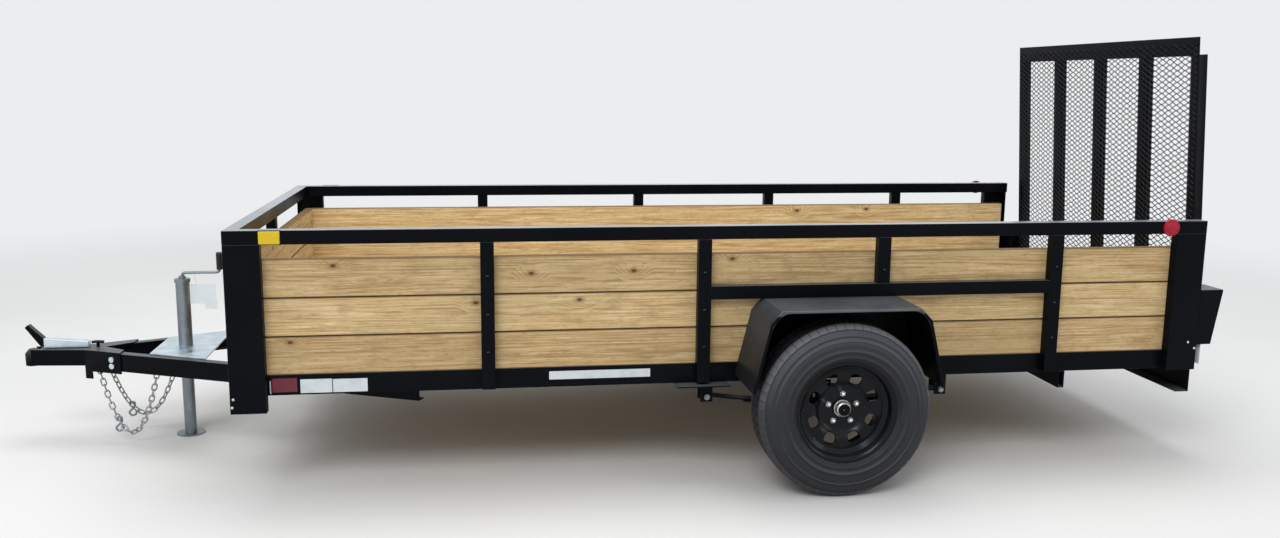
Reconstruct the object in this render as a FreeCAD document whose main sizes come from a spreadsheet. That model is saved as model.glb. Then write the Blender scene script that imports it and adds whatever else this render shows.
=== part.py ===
import FreeCAD, Part
import os
import Sketcher

from FreeCAD import Placement, Rotation, Vector

# Single-axle utility trailer with high board sides and an upright ramp gate.
# X runs along the length, the coupler at -X and the gate at +X.  Z is up and the
# ground is Z = 0.  "Left" is the -Y side.  All sizes are in millimetres.

doc = FreeCAD.newDocument("utility_trailer")
sheet = doc.addObject("Spreadsheet::Sheet", "Sizes")

DRIVING = (
    ("box_length", 3790), ("box_width", 1760), ("tongue_reach", 1010), ("rear_reach", 98),
    ("steel", 5), ("rail_bottom", 391), ("rail_height", 77), ("rail_flange", 51),
    ("stake_depth", 40), ("stake_face", 50), ("stake_wall", 3), ("stake_lift", 8),
    ("stake_one_share", 0.24406), ("stake_ahead", 105), ("stake_over", 206),
    ("stake_behind", 526), ("mid_rail_top", 774),
    ("tube", 51), ("tube_wall", 3), ("rail_gap", 56), ("corner_face", 127), ("corner_drop", 56),
    ("board_pitch", 143), ("board_seam", 3), ("board_thick", 38), ("board_rows", 3),
    ("deck_count", 12), ("deck_seam", 2), ("deck_thick", 38), ("deck_gap", 4),
    ("bearer_width", 50), ("tongue_bearer_share", 0.15567),
    ("low_beam_drop", 70), ("low_beam_width", 28), ("low_beam_set", 61),
    ("tongue_angle", 25), ("tongue_height", 76), ("tongue_web", 40), ("tongue_start", 122),
    ("tongue_end_set", 130), ("tongue_apex", 862),
    ("coupler_steel", 6), ("coupler_gap", 0.3), ("neck_height", 68), ("flank_front", 118),
    ("flank_back", 300), ("flank_drop", 9), ("ear_length", 34), ("ear_drop", 32),
    ("notch_depth", 70), ("wing_width", 60),
    ("ball_height", 362), ("ball_radius", 25.4), ("socket_gap", 0.8), ("socket_wall", 7),
    ("socket_skirt", 35), ("lever_width", 30), ("lever_place", 44), ("lever_lift", 8),
    ("handle_ahead", 24), ("handle_thick", 14), ("handle_low", 92), ("handle_high", 104),
    ("latch_foot", 90), ("latch_heel", 150), ("latch_fit", 0.2), ("bar_height", 44),
    ("bar_fall", 16), ("knob_place", 231), ("knob_length", 56), ("knob_bar", 13),
    ("knob_stem", 18), ("bolt_place", 261), ("bolt_radius", 12), ("bolt_head", 9),
    ("bolt_spacing", 28),
    ("jack_place", 360), ("jack_radius", 28.5), ("jack_bore", 25.1), ("jack_leg_radius", 24.6),
    ("jack_top", 672), ("jack_low", 312), ("jack_travel", 250), ("jack_headroom", 7),
    ("jack_cap_rim", 4), ("jack_cap_height", 14), ("foot_radius", 58), ("foot_thick", 6),
    ("plate_ahead", 110), ("plate_behind", 140), ("plate_set", 35), ("plate_steel", 6),
    ("crank_reach", 156), ("crank_bar", 16), ("crank_rise", 22), ("grip_radius", 13),
    ("grip_length", 85), ("tag_width", 104), ("tag_height", 86), ("tag_thick", 2),
    ("tag_hang", 46), ("tag_place", 84), ("cord_radius", 1.2), ("slip_set", 4),
    ("slip_drop", 24), ("slip_height", 40), ("grip_set", 7),
    ("chain_front", 162), ("chain_back", 424), ("chain_set", 19), ("chain_low_left", 56),
    ("chain_low_right", 70), ("link_wire", 6), ("link_width", 24), ("link_overlap", 10.8),
    ("links_per_chain", 19),
    ("wheel_share", 0.58997), ("wheel_centre", 145), ("tyre_radius", 331.5),
    ("tyre_width", 203), ("tread_half", 62), ("wall_radius", 232), ("shoulder_radius", 300),
    ("shoulder_half", 92), ("bead_radius", 177.8), ("bead_half", 72), ("bead_fit", 0.3),
    ("rim_flange", 194), ("flange_half", 82), ("rim_metal", 3.5), ("well_radius", 158),
    ("well_half", 34), ("disc_metal", 6), ("disc_offset", 8), ("disc_rise", 22), ("disc_flat", 80),
    ("disc_shift", 4), ("window_low", 98), ("window_mid", 118), ("window_rim", 14),
    ("window_low_half", 13), ("window_high_half", 24), ("window_count", 8),
    ("hub_radius", 34), ("hub_flange", 72), ("hub_depth", 75), ("spindle_radius", 17),
    ("spindle_gap", 0.3), ("bolt_circle", 57.15), ("nut_count", 5), ("nut_radius", 11),
    ("nut_length", 24), ("cap_radius", 29), ("cap_length", 34), ("cap_bevel", 7),
    ("cap_fit", 3), ("cap_rise", 8), ("cap_hole", 2), ("flange_set", 4), ("spindle_tail", 20),
    ("axle_radius", 30), ("axle_inset", 130),
    ("spring_width", 45), ("leaf", 7), ("leaf_gap", 0.4), ("spring_span", 464),
    ("spring_dip", 36), ("eye_radius", 15), ("spring_set", 68), ("hanger_length", 48),
    ("hanger_gap", 0.5), ("hanger_drop", 22), ("hanger_bolt", 8), ("hanger_tail", 12),
    ("bolt_fit", 0.2), ("shelf_ahead", 124), ("shelf_behind", 80), ("shelf_reach", 60),
    ("clamp_length", 100), ("clamp_width", 76), ("clamp_plate", 8), ("clamp_rod", 5),
    ("clamp_fit", 0.5), ("clamp_tail", 6), ("clamp_bow", 9),
    ("fender_flat", 264), ("fender_knee", 306), ("fender_foot", 368), ("fender_knee_drop", 46),
    ("fender_low", 420), ("fender_reach", 290), ("fender_steel", 3), ("fender_lip", 8),
    ("gate_gap", 8), ("gate_height", 1284), ("gate_tube", 50.8), ("gate_depth", 40),
    ("gate_face", 19), ("gate_start", 26), ("gate_posts", 5), ("gate_angle", 76.2),
    ("gate_lean", 3.5), ("gate_hinge_back", 78), ("gate_hinge_height", 452),
    ("mesh_thick", 3), ("mesh_set", 6), ("mesh_top_set", 28), ("hinge_set", 225),
    ("sleeve_radius", 17), ("sleeve_length", 90), ("sleeve_clear", 1), ("tab_thick", 16),
    ("tab_bite", 2), ("pin_radius", 9.5), ("pin_fit", 0.3), ("pin_tail", 2),
    ("ear_thick", 8), ("sill_depth", 60), ("sill_height", 181), ("sill_set", 10),
    ("lamp_box_low", 496), ("lamp_box_high", 722), ("lamp_box_width", 122),
    ("lamp_box_foot", 62), ("lamp_box_lip", 8), ("lamp_height", 150), ("lamp_depth", 34),
    ("lamp_rise", 30), ("lamp_fit", 2), ("amber_length", 73), ("amber_height", 46),
    ("amber_depth", 14), ("amber_rise", 3), ("red_radius", 34), ("red_depth", 16),
    ("red_set", 159), ("reflector_set", 142), ("reflector_length", 90),
    ("reflector_height", 52), ("reflector_thick", 6), ("reflector_lift", 12),
    ("bracket_width", 74), ("bracket_height", 84), ("bracket_thick", 3), ("bracket_set", 6),
    ("bracket_arm", 12), ("bracket_arm_place", 42), ("bracket_arm_drop", 70),
    ("bracket_arm_height", 40),
)
# The sizes that follow from the others.
DERIVED = (
    ("overall", "=box_length + tongue_reach + rear_reach"),
    ("front", "=tongue_reach - overall / 2"),
    ("rear", "=front + box_length"),
    ("half", "=box_width / 2"),
    ("wall", "=half - stake_depth"),
    ("board_inner", "=wall - board_thick"),
    ("rail_top", "=rail_bottom + rail_height"),
    ("boards_top", "=rail_top + board_pitch * board_rows"),
    ("tube_low", "=boards_top + rail_gap"),
    ("deck_low", "=rail_top - deck_thick"),
    ("flange_top", "=rail_bottom + steel"),
    ("wheel_place", "=box_length * wheel_share"),
    ("axle_x", "=front + wheel_place"),
    ("stake_one", "=box_length * stake_one_share"),
    ("stake_two", "=wheel_place - fender_foot - stake_ahead - stake_face / 2"),
    ("stake_three", "=wheel_place + stake_over"),
    ("stake_four", "=wheel_place + fender_foot + stake_behind + stake_face / 2"),
    ("wheel_y", "=half + wheel_centre"),
    ("axle_half", "=wheel_y - axle_inset"),
    ("spring_y", "=half - spring_set"),
    ("axle_low", "=tyre_radius - axle_radius"),
    ("eye_x", "=spring_span + eye_radius - 3"),
    ("eye_z", "=axle_low + spring_dip - leaf / 2"),
    ("gate_width", "=box_width - 2 * (lamp_box_width + gate_gap)"),
    ("hinge_x", "=rear + gate_hinge_back"),
    ("hinge_y", "=gate_width / 2 - hinge_set"),
    ("apex", "=front - tongue_apex"),
    ("tongue_low", "=rail_bottom - tongue_height"),
    ("tongue_length", "=(wall - tongue_end_set) / sin(tongue_angle) - tongue_start"),
    ("ball_x", "=front - tongue_reach + ball_radius + socket_gap + socket_wall"),
    ("socket_inner", "=ball_radius + socket_gap"),
    ("socket_outer", "=socket_inner + socket_wall"),
    ("coupler_top", "=rail_bottom + coupler_steel"),
    ("flank_out", "=coupler_gap + coupler_steel"),
    ("neck_x", "=apex - ball_x + flank_front * cos(tongue_angle) - flank_out * sin(tongue_angle)"),
    ("neck_y", "=flank_front * sin(tongue_angle) + flank_out * cos(tongue_angle)"),
    ("wing_x", "=apex - ball_x + flank_back * cos(tongue_angle) - flank_out * sin(tongue_angle)"),
    ("wing_y", "=flank_back * sin(tongue_angle) + flank_out * cos(tongue_angle)"),
    ("jack_x", "=front - jack_place"),
    ("arm_low", "=jack_top + jack_cap_height + crank_rise"),
    ("plate_front_y", "=(jack_x - plate_ahead - apex) * tan(tongue_angle) - plate_set"),
    ("plate_back_y", "=(jack_x + plate_behind - apex) * tan(tongue_angle) - plate_set"),
)
MIRRORED = Vector(0, 1, 0)


def fill_sheet():
    for row, (alias, value) in enumerate(DRIVING + DERIVED, 1):
        sheet.set("A%d" % row, alias.replace("_", " "))
        sheet.set("B%d" % row, str(value))
        sheet.setAlias("B%d" % row, alias)
    doc.recompute()


def full(text):
    """An expression in the sheet's names, each written with @."""
    return str(text).replace("@", "Sizes.")


def number(text):
    """The value that an expression has now."""
    return float(sheet.evalExpression(full(text).replace("Sizes.", "")))


def bind(thing, place, text):
    thing.setExpression(place, full(text))


def put(thing, at, axis=None, angle=None):
    """Place a piece at three expressions, turned about an axis by a fourth."""
    if axis is not None:
        thing.Placement = Placement(Vector(), Rotation(axis, number(angle) or 1e-9))
        if not isinstance(angle, (int, float)):
            bind(thing, "Placement.Rotation.Angle", angle)
    for letter, text in zip("xyz", at):
        bind(thing, "Placement.Base.%s" % letter, text)
    return thing


def name_it(thing, name):
    thing.Label = name
    return thing


def box(name, at, size):
    thing = doc.addObject("Part::Box", name)
    for side, text in zip(("Length", "Width", "Height"), size):
        bind(thing, side, text)
    return put(name_it(thing, name), at)


def cylinder(name, radius, length, at, axis=None, angle=90):
    thing = doc.addObject("Part::Cylinder", name)
    bind(thing, "Radius", radius)
    bind(thing, "Height", length)
    return put(name_it(thing, name), at, axis, angle)


def origin_plane(body, role):
    return next(f for f in body.Origin.OriginFeatures if f.Role == role)


def outline(sketch, points):
    """A closed polygon whose corners are held by expressions."""
    spots = [Vector(number(u), number(v), 0) for u, v in points]
    first = sketch.GeometryCount
    count = len(points)
    for here in range(count):
        sketch.addGeometry(Part.LineSegment(spots[here], spots[(here + 1) % count]), False)
    for here in range(count):
        after = (here + 1) % count
        sketch.addConstraint(Sketcher.Constraint("Coincident", first + here, 2, first + after, 1))
    for here, corner in enumerate(points):
        for kind, text, value in zip(("DistanceX", "DistanceY"), corner, spots[here]):
            index = sketch.addConstraint(
                Sketcher.Constraint(kind, -1, 1, first + here, 1, value))
            sketch.setExpression("Constraints[%d]" % index, full(text))


def sketched(body, name, role, outlines, circles=()):
    sketch = body.newObject("Sketcher::SketchObject", name)
    sketch.AttachmentSupport = [(origin_plane(body, role), "")]
    sketch.MapMode = "FlatFace"
    for points in outlines:
        outline(sketch, points)
    for (u, v), radius in circles:
        centre = Vector(number(u), number(v), 0)
        index = sketch.addGeometry(Part.Circle(centre, Vector(0, 0, 1), number(radius)), False)
        for kind, text, value in (("DistanceX", u, centre.x), ("DistanceY", v, centre.y)):
            held = sketch.addConstraint(Sketcher.Constraint(kind, -1, 1, index, 3, value))
            sketch.setExpression("Constraints[%d]" % held, full(text))
        held = sketch.addConstraint(Sketcher.Constraint("Radius", index, number(radius)))
        sketch.setExpression("Constraints[%d]" % held, full(radius))
    return sketch


def pad(name, role, outlines, length, at, circles=(), axis=None, angle=None):
    """A body padded from one sketch: XY pads along +Z, YZ along +X, XZ along -Y."""
    body = doc.addObject("PartDesign::Body", name)
    sketch = sketched(body, name + "_sketch", role, outlines, circles)
    feature = body.newObject("PartDesign::Pad", name + "_pad")
    feature.Profile = sketch
    bind(feature, "Length", length)
    return put(name_it(body, name), at, axis, angle)


def revolve(name, outlines, at):
    """A body turned about its own Y axis from a sketch of (radius, along Y) corners."""
    body = doc.addObject("PartDesign::Body", name)
    sketch = sketched(body, name + "_sketch", "XY_Plane", outlines)
    feature = body.newObject("PartDesign::Revolution", name + "_turn")
    feature.Profile = sketch
    feature.ReferenceAxis = (sketch, ["V_Axis"])
    feature.Angle = 360
    return put(name_it(body, name), at)


def rectangle(u, v, width, height):
    right = "%s + %s" % (u, width)
    top = "%s + %s" % (v, height)
    return [(u, v), (right, v), (right, top), (u, top)]


def tube_ring(width, height, wall):
    """The two outlines of a rectangular tube whose corner is the origin."""
    inner_width = "%s - 2 * %s" % (width, wall)
    inner_height = "%s - 2 * %s" % (height, wall)
    return [rectangle("0", "0", width, height), rectangle(wall, wall, inner_width, inner_height)]


def together(name, members):
    thing = doc.addObject("Part::Compound", name)
    thing.Links = members
    return name_it(thing, name)


def cut(name, base, tool):
    thing = doc.addObject("Part::Cut", name)
    thing.Base = base
    thing.Tool = tool
    return name_it(thing, name)


def fuse(name, members):
    thing = doc.addObject("Part::MultiFuse", name)
    thing.Shapes = members
    return name_it(thing, name)


def mirror(name, source):
    """The same piece on the right-hand side."""
    thing = doc.addObject("Part::Mirroring", name)
    thing.Source = source
    thing.Normal = MIRRORED
    return name_it(thing, name)


def both_sides(stem, left):
    return [name_it(left, stem + "_left"), mirror(stem + "_right", left)]


def pair(name, left):
    """A left piece and its mirror image as one node."""
    return together(name, [left, mirror(name + "_mirrored", left)])


def angle_profile():
    """An angle section: its leg up at the origin, its foot towards +U."""
    return [[("0", "0"), ("@rail_flange", "0"), ("@rail_flange", "@steel"), ("@steel", "@steel"),
             ("@steel", "@rail_height"), ("0", "@rail_height")]]


def make_frame():
    """Side rails, front crossmember, rear sill and the members under the deck."""
    rail = pad("side_angle", "YZ_Plane", angle_profile(),
               "@box_length - @stake_depth - @sill_depth",
               ("@front + @stake_depth", "-@wall", "@rail_bottom"))
    upright = pad("front_upright", "XZ_Plane", [rectangle("0", "0", "@steel", "@rail_height")],
                  "2 * (@wall - @steel)",
                  ("@front + @stake_depth", "@wall - @steel", "@rail_bottom"))
    foot = pad("front_foot", "XZ_Plane",
               [rectangle("@steel", "0", "@rail_flange - @steel", "@steel")],
               "2 * (@wall - @rail_flange)",
               ("@front + @stake_depth", "@wall - @rail_flange", "@rail_bottom"))
    trim = box("front_trim", ("@front + @stake_depth - 1", "-@wall + @steel", "@rail_bottom - 1"),
               ("@steel + 1", "@rail_flange", "@steel + 2"))
    front = fuse("front_crossmember", [upright, foot])
    sill = pad("rear_sill", "XZ_Plane",
               [[("0", "0"), ("@sill_depth", "0"), ("@sill_depth", "@sill_height"),
                 ("0", "@sill_height"), ("0", "@sill_height - @steel"),
                 ("@sill_depth - @steel", "@sill_height - @steel"),
                 ("@sill_depth - @steel", "@steel"), ("0", "@steel")]],
               "2 * @wall",
               ("@rear + @sill_set - @sill_depth", "@wall", "@rail_top - @sill_height"))
    return both_sides("side_rail", cut("side_rail", rail, trim)) + [
        sill, make_crossmembers(front)]


def make_crossmembers(front):
    # Each bearer's place from the front of the box, as a share of the box's length.
    shares = (0.0243, 0.3113, 0.4644, 0.6174, 0.7704, 0.971)
    bearers = [box("bearer_%d" % n,
                   ("@front + %s * @box_length" % share, "-@wall + @steel", "@flange_top"),
                   ("@bearer_width", "2 * (@wall - @steel)", "@deck_low - @flange_top"))
               for n, share in enumerate(shares, 1)]
    anchor = box("tongue_bearer",
                 ("@front + @tongue_bearer_share * @box_length", "-@wall + @rail_flange",
                  "@rail_bottom"),
                 ("@bearer_width", "2 * (@wall - @rail_flange)", "@deck_low - @rail_bottom"))
    beam = pad("low_beam", "XZ_Plane", tube_ring("@low_beam_width", "@low_beam_drop", "@steel"),
               "2 * @wall", ("@front + @stake_four + @low_beam_set", "@wall",
                             "@rail_bottom - @low_beam_drop"))
    return together("crossmembers", [front] + bearers + [anchor, beam])


def leg_frame(name, members):
    """Pieces drawn along the left tongue leg: +X runs back from the apex, +Y inwards."""
    return put(together(name, members), ("@apex", "0", "0"), Vector(0, 0, -1), "@tongue_angle")


def make_tongue():
    profile = [[("0", "0"), ("@tongue_web", "0"), ("@tongue_web", "@steel"), ("@steel", "@steel"),
                ("@steel", "@tongue_height - @steel"), ("@tongue_web", "@tongue_height - @steel"),
                ("@tongue_web", "@tongue_height"), ("0", "@tongue_height")]]
    leg = pad("tongue_leg", "YZ_Plane", profile, "@tongue_length",
              ("@tongue_start", "0", "@tongue_low"))
    return both_sides("tongue", leg_frame("tongue_left", [leg]))


def make_coupler():
    """A ball socket, the pressed A-frame body behind it, its bolts and its latch."""
    socket = revolve("socket_shell", [[
        ("@socket_inner", "-@socket_skirt"), ("@socket_outer", "-@socket_skirt"),
        ("@socket_outer", "@socket_outer * 0.45"), ("@socket_outer * 0.55", "@socket_outer"),
        ("1", "@socket_outer"), ("1", "@socket_inner"), ("@socket_inner * 0.55", "@socket_inner"),
        ("@socket_inner", "@socket_inner * 0.45")]],
        ("0", "0", "0"))
    cup = put(together("coupler_socket", [socket]), ("@ball_x", "0", "@ball_height"),
              Vector(1, 0, 0), 90)
    wing_in = "(@wing_y - @wing_width)"
    plate = pad("coupler_plate", "XY_Plane",
                [[("0", "-@socket_outer"), ("@neck_x", "-@neck_y"), ("@wing_x", "-@wing_y"),
                  ("@wing_x", "-%s" % wing_in), ("@neck_x + @notch_depth", "0"),
                  ("@wing_x", wing_in), ("@wing_x", "@wing_y"), ("@neck_x", "@neck_y"),
                  ("0", "@socket_outer")]],
                "@coupler_steel", ("@ball_x", "0", "@rail_bottom"))
    lap = "(@neck_x + 4)"
    cheek = pad("coupler_cheek", "XY_Plane",
                [[("0", "-@socket_outer"), (lap, "-@neck_y"), (lap, "-@neck_y + @coupler_steel"),
                  ("0", "-@socket_outer + @coupler_steel")]],
                "@neck_height", ("@ball_x", "0", "@coupler_top - @neck_height"))
    low = "(@tongue_low - @flank_drop)"
    ear = "(@flank_front + @ear_length)"
    flank = pad("coupler_flank", "XZ_Plane",
                [[("@flank_front", "%s - @ear_drop" % low), (ear, "%s - @ear_drop" % low),
                  (ear, low), ("@flank_back", low), ("@flank_back", "@coupler_top"),
                  ("@flank_front", "@coupler_top")]],
                "@coupler_steel", ("0", "-@coupler_gap", "0"))
    side = fuse("coupler_side", [leg_frame("coupler_flank_left", [flank]), cheek])
    room = cylinder("coupler_room", "@socket_outer", "3 * @neck_height",
                    ("@ball_x", "0", "@coupler_top - 2 * @neck_height"))
    body = cut("coupler", fuse("coupler_solid", [plate, side, mirror("coupler_far", side)]), room)
    heads = []
    for n, side_z in ((1, -1), (2, 1)):
        heads.append(cylinder("coupler_bolt_%d" % n, "@bolt_radius", "@bolt_head",
                              ("@bolt_place", "-@flank_out",
                               "@rail_bottom - @tongue_height / 2 + %d * @bolt_spacing / 2" % side_z),
                              Vector(1, 0, 0), 90))
    bolts = pair("coupler_bolts", leg_frame("coupler_bolts_left", heads))
    return [cup, body, bolts, make_latch()]


def make_latch():
    """The latch lever with its handle raised at the nose, and the T-shaped lock behind it."""
    top = "@coupler_top"
    bar_end = "@knob_place - 5"
    lever = pad("latch_lever", "XZ_Plane",
                [[("-@handle_ahead", "@handle_low"), ("@handle_thick - @handle_ahead", "@handle_high"),
                  ("@lever_place", "@bar_height"), (bar_end, "@bar_height - @bar_fall"),
                  (bar_end, "@lever_lift"), ("@latch_heel", "@lever_lift"),
                  ("@latch_heel", "@latch_fit"), ("@latch_foot", "@latch_fit"),
                  ("@latch_foot", "@lever_lift"), ("@lever_place - @lever_lift", "@lever_lift")]],
                "@lever_width", ("@ball_x", "@lever_width / 2", top))
    middle = "@ball_x + @knob_place + @knob_length / 2"
    stem = cylinder("lock_stem", "@knob_bar / 2", "@knob_stem",
                    (middle, "0", "%s + @latch_fit" % top))
    bar = box("lock_bar", ("@ball_x + @knob_place", "-@knob_bar / 2", "%s + @knob_stem - 1" % top),
              ("@knob_length", "@knob_bar", "@knob_bar"))
    return together("coupler_latch", [lever, fuse("coupler_lock", [stem, bar])])


def make_jack():
    plate = pad("jack_plate", "XY_Plane",
                [[("-@plate_ahead", "-@plate_front_y"), ("@plate_behind", "-@plate_back_y"),
                  ("@plate_behind", "@plate_back_y"), ("-@plate_ahead", "@plate_front_y")]],
                "@plate_steel", ("@jack_x", "0", "@rail_bottom"),
                circles=[(("0", "0"), "@jack_radius + 0.2")])
    case = pad("jack_case", "XY_Plane", [], "@jack_top - @jack_low",
               ("@jack_x", "0", "@jack_low"),
               circles=[(("0", "0"), "@jack_radius"), (("0", "0"), "@jack_bore")])
    cap = cylinder("jack_cap", "@jack_radius + @jack_cap_rim", "@jack_cap_height",
                   ("@jack_x", "0", "@jack_top"))
    leg = cylinder("jack_leg_tube", "@jack_leg_radius",
                   "@jack_top - @jack_travel - @jack_headroom - @foot_thick",
                   ("@jack_x", "0", "@foot_thick"))
    foot = cylinder("jack_foot", "@foot_radius", "@foot_thick", ("@jack_x", "0", "0"))
    ram = fuse("jack_leg", [leg, foot])
    half_bar = "@crank_bar / 2"
    shaft = cylinder("crank_shaft", half_bar, "@crank_rise + 1",
                     ("@jack_x", "0", "@jack_top + @jack_cap_height"))
    arm = box("crank_arm", ("@jack_x - %s" % half_bar, "-%s" % half_bar, "@arm_low"),
              ("@crank_reach + @crank_bar", "@crank_bar", half_bar))
    grip = cylinder("crank_grip", "@grip_radius", "@grip_length",
                    ("@jack_x + @crank_reach", "0", "@arm_low + @grip_set"))
    crank = fuse("jack_crank", [shaft, arm, grip])
    cord = cylinder("tag_cord", "@cord_radius", "@tag_hang + 1",
                    ("@jack_x + @tag_place", "0", "@arm_low - @tag_hang - 1"))
    sheet_low = "@arm_low - @tag_hang - @tag_height + 1"
    sheet_at = ("@jack_x + @tag_place - @tag_width / 2", "-@tag_thick / 2", sheet_low)
    slip = box("tag_slip", ("@jack_x + @tag_place + @slip_set", "-@tag_thick / 2",
                            "%s - @slip_drop" % sheet_low),
               ("@tag_width / 2", "@tag_thick", "@slip_height"))
    tag = fuse("blank_tag", [cord, box("tag_sheet", sheet_at,
                                       ("@tag_width", "@tag_thick", "@tag_height")), slip])
    return [plate, fuse("jack_tube", [case, cap]), ram, crank, tag]


def link_shape(length, width, wire):
    """One chain link of six straight sides, lying along X in the XY plane."""
    def ring(reach, side):
        straight = reach - side
        corners = [Vector(-straight, -side, 0), Vector(straight, -side, 0), Vector(reach, 0, 0),
                   Vector(straight, side, 0), Vector(-straight, side, 0), Vector(-reach, 0, 0)]
        return Part.Face(Part.makePolygon(corners + corners[:1]))

    face = ring(length / 2, width / 2).cut(ring(length / 2 - wire, width / 2 - wire))
    return face.extrude(Vector(0, 0, wire)).translated(Vector(0, 0, -wire / 2))


def chain_path(start, end, low, count):
    """Points evenly spaced along a parabola that hangs from start to end."""
    fine = 400
    points = []
    for step in range(fine + 1):
        share = step / fine
        point = start + (end - start) * share
        point.z -= 4 * share * (1 - share) * ((start.z + end.z) / 2 - low)
        points.append(point)
    lengths = [0.0]
    for before, after in zip(points, points[1:]):
        lengths.append(lengths[-1] + (after - before).Length)
    spots = []
    for n in range(count + 1):
        wanted = lengths[-1] * n / count
        index = min(range(fine + 1), key=lambda i: abs(lengths[i] - wanted))
        spots.append(points[index])
    return spots


def make_chains():
    """Two safety chains that hang in a loop from the tongue legs."""
    wire, width = number("@link_wire"), number("@link_width")
    count = int(number("@links_per_chain"))
    tongue_low = number("@tongue_low")
    ends = [(number("@apex + %s" % along), number("%s * tan(@tongue_angle) - @chain_set" % along))
            for along in ("@chain_front", "@chain_back")]
    loops = []
    for side, low in ((-1, "@chain_low_left"), (1, "@chain_low_right")):
        start, end = (Vector(x, side * y, tongue_low) for x, y in ends)
        spots = chain_path(start, end, number(low), count)
        links = []
        for n, (here, there) in enumerate(zip(spots, spots[1:])):
            along = there - here
            link = link_shape(along.Length + number("@link_overlap"), width, wire)
            turn = Rotation(Vector(1, 0, 0), along)
            twist = Rotation(Vector(1, 0, 0), 90 * (n % 2) + 45)
            link.Placement = Placement((here + there) / 2, turn.multiply(twist))
            links.append(link)
        loop = Part.makeCompound(links)
        # The end links bear against the underside of the leg.
        loop.translate(Vector(0, 0, tongue_low - loop.optimalBoundingBox(False).ZMax))
        loops += loop.Solids
    chains = doc.addObject("Part::Feature", "safety_chains")
    chains.Shape = Part.makeCompound(loops)
    return [name_it(chains, "safety_chains")]


def make_boards():
    rows = range(int(number("@board_rows")))
    height = "@board_pitch - @board_seam"
    side = [box("side_board_%d" % n,
                ("@front + @stake_depth", "-@wall", "@rail_top + %d * @board_pitch" % n),
                ("@box_length - 2 * @stake_depth", "@board_thick", height)) for n in rows]
    front = [box("front_board_%d" % n,
                 ("@front + @stake_depth", "-@board_inner", "@rail_top + %d * @board_pitch" % n),
                 ("@board_thick", "2 * @board_inner", height)) for n in rows]
    pitch = "2 * (@wall - @steel - 1) / @deck_count"
    inset = "@stake_depth + @board_thick"
    deck = [box("deck_board_%d" % n,
                ("@front + %s" % inset, "-@wall + @steel + 1 + %d * %s" % (n, pitch), "@deck_low"),
                ("@box_length - (%s) - @sill_depth + @sill_set - @deck_gap" % inset,
                 "%s - @deck_seam" % pitch, "@deck_thick"))
            for n in range(int(number("@deck_count")))]
    return [together("deck_boards", deck), together("front_boards", front)] + both_sides(
        "side_boards", together("side_boards_left", side))


def post_profile():
    """A formed channel, open towards the boards."""
    return [[("0", "0"), ("@corner_face", "0"), ("@corner_face", "@stake_depth"),
             ("@corner_face - @steel", "@stake_depth"), ("@corner_face - @steel", "@steel"),
             ("@steel", "@steel"), ("@steel", "@stake_depth"), ("0", "@stake_depth")]]


def make_uprights():
    foot = "@rail_bottom - @corner_drop"
    front_post = pad("front_post", "XY_Plane", post_profile(), "@tube_low - (%s)" % foot,
                     ("@front", "-@half", foot))
    rear_post = pad("rear_post", "XY_Plane", post_profile(), "@tube_low - @rail_bottom",
                    ("@rear - @corner_face", "-@half", "@rail_bottom"))
    ring = tube_ring("@stake_face", "@stake_depth", "@stake_wall")
    lifted = "@rail_bottom + @stake_lift"
    # Each stake's place and the height of its foot.
    feet = (("one", lifted), ("two", lifted), ("three", "@mid_rail_top"), ("four", lifted))
    stakes = [pad("stake_" + word, "XY_Plane", ring, "@tube_low - (%s)" % low,
                  ("@front + @stake_%s - @stake_face / 2" % word, "-@half", low))
              for word, low in feet]
    middle = pad("front_stake", "XY_Plane", tube_ring("@stake_depth", "@stake_face", "@stake_wall"),
                 "@tube_low - (%s)" % lifted, ("@front", "-@stake_face / 2", lifted))
    side = together("stakes_side", stakes)
    return [pair("corner_posts", together("posts_side", [front_post, rear_post])),
            together("stakes", [side, mirror("stakes_mirrored", side), middle])]


def make_top_rails():
    ring = tube_ring("@tube", "@tube", "@tube_wall")
    left = pad("top_rail_left", "YZ_Plane", ring, "@box_length", ("@front", "-@half", "@tube_low"))
    across = pad("top_rail_front", "XZ_Plane", ring, "2 * (@half - @tube)",
                 ("@front", "@half - @tube", "@tube_low"))
    span = "@stake_four - @stake_two - @stake_face"
    mid = pad("mid_rail", "YZ_Plane", tube_ring("@stake_depth", "@tube", "@tube_wall"), span,
              ("@front + @stake_two + @stake_face / 2", "-@half", "@mid_rail_top - @tube"))
    return both_sides("top_rail", left) + [across, pair("mid_rails", mid)]


def fender_outline(inset, low="@fender_low"):
    """The fender's side shape about the axle, drawn in from its outer face."""
    top = "@mid_rail_top - @tube - %s" % inset
    slope = "%s * 0.62" % inset
    return [("-@fender_foot + %s" % inset, low),
            ("-@fender_knee + %s" % inset, "%s - @fender_knee_drop" % top),
            ("-@fender_flat + %s" % slope, top), ("@fender_flat - %s" % slope, top),
            ("@fender_knee - %s" % inset, "%s - @fender_knee_drop" % top),
            ("@fender_foot - %s" % inset, low)]


def make_fenders():
    body = pad("fender_block", "XZ_Plane", [fender_outline("0")], "@fender_reach",
               ("@axle_x", "-@wall", "0"))
    below = "@fender_low - 5"
    hollow = pad("fender_hollow", "XZ_Plane", [fender_outline("@fender_steel", below)],
                 "@fender_reach - 2 * @fender_steel", ("@axle_x", "-@wall - @fender_steel", "0"))
    mouth = pad("fender_mouth", "XZ_Plane", [fender_outline("@fender_lip", below)],
                "2 * @fender_steel",
                ("@axle_x", "-@wall - @fender_reach + 1.5 * @fender_steel", "0"))
    return both_sides("fender", cut("fender", body, fuse("fender_room", [hollow, mouth])))


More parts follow.
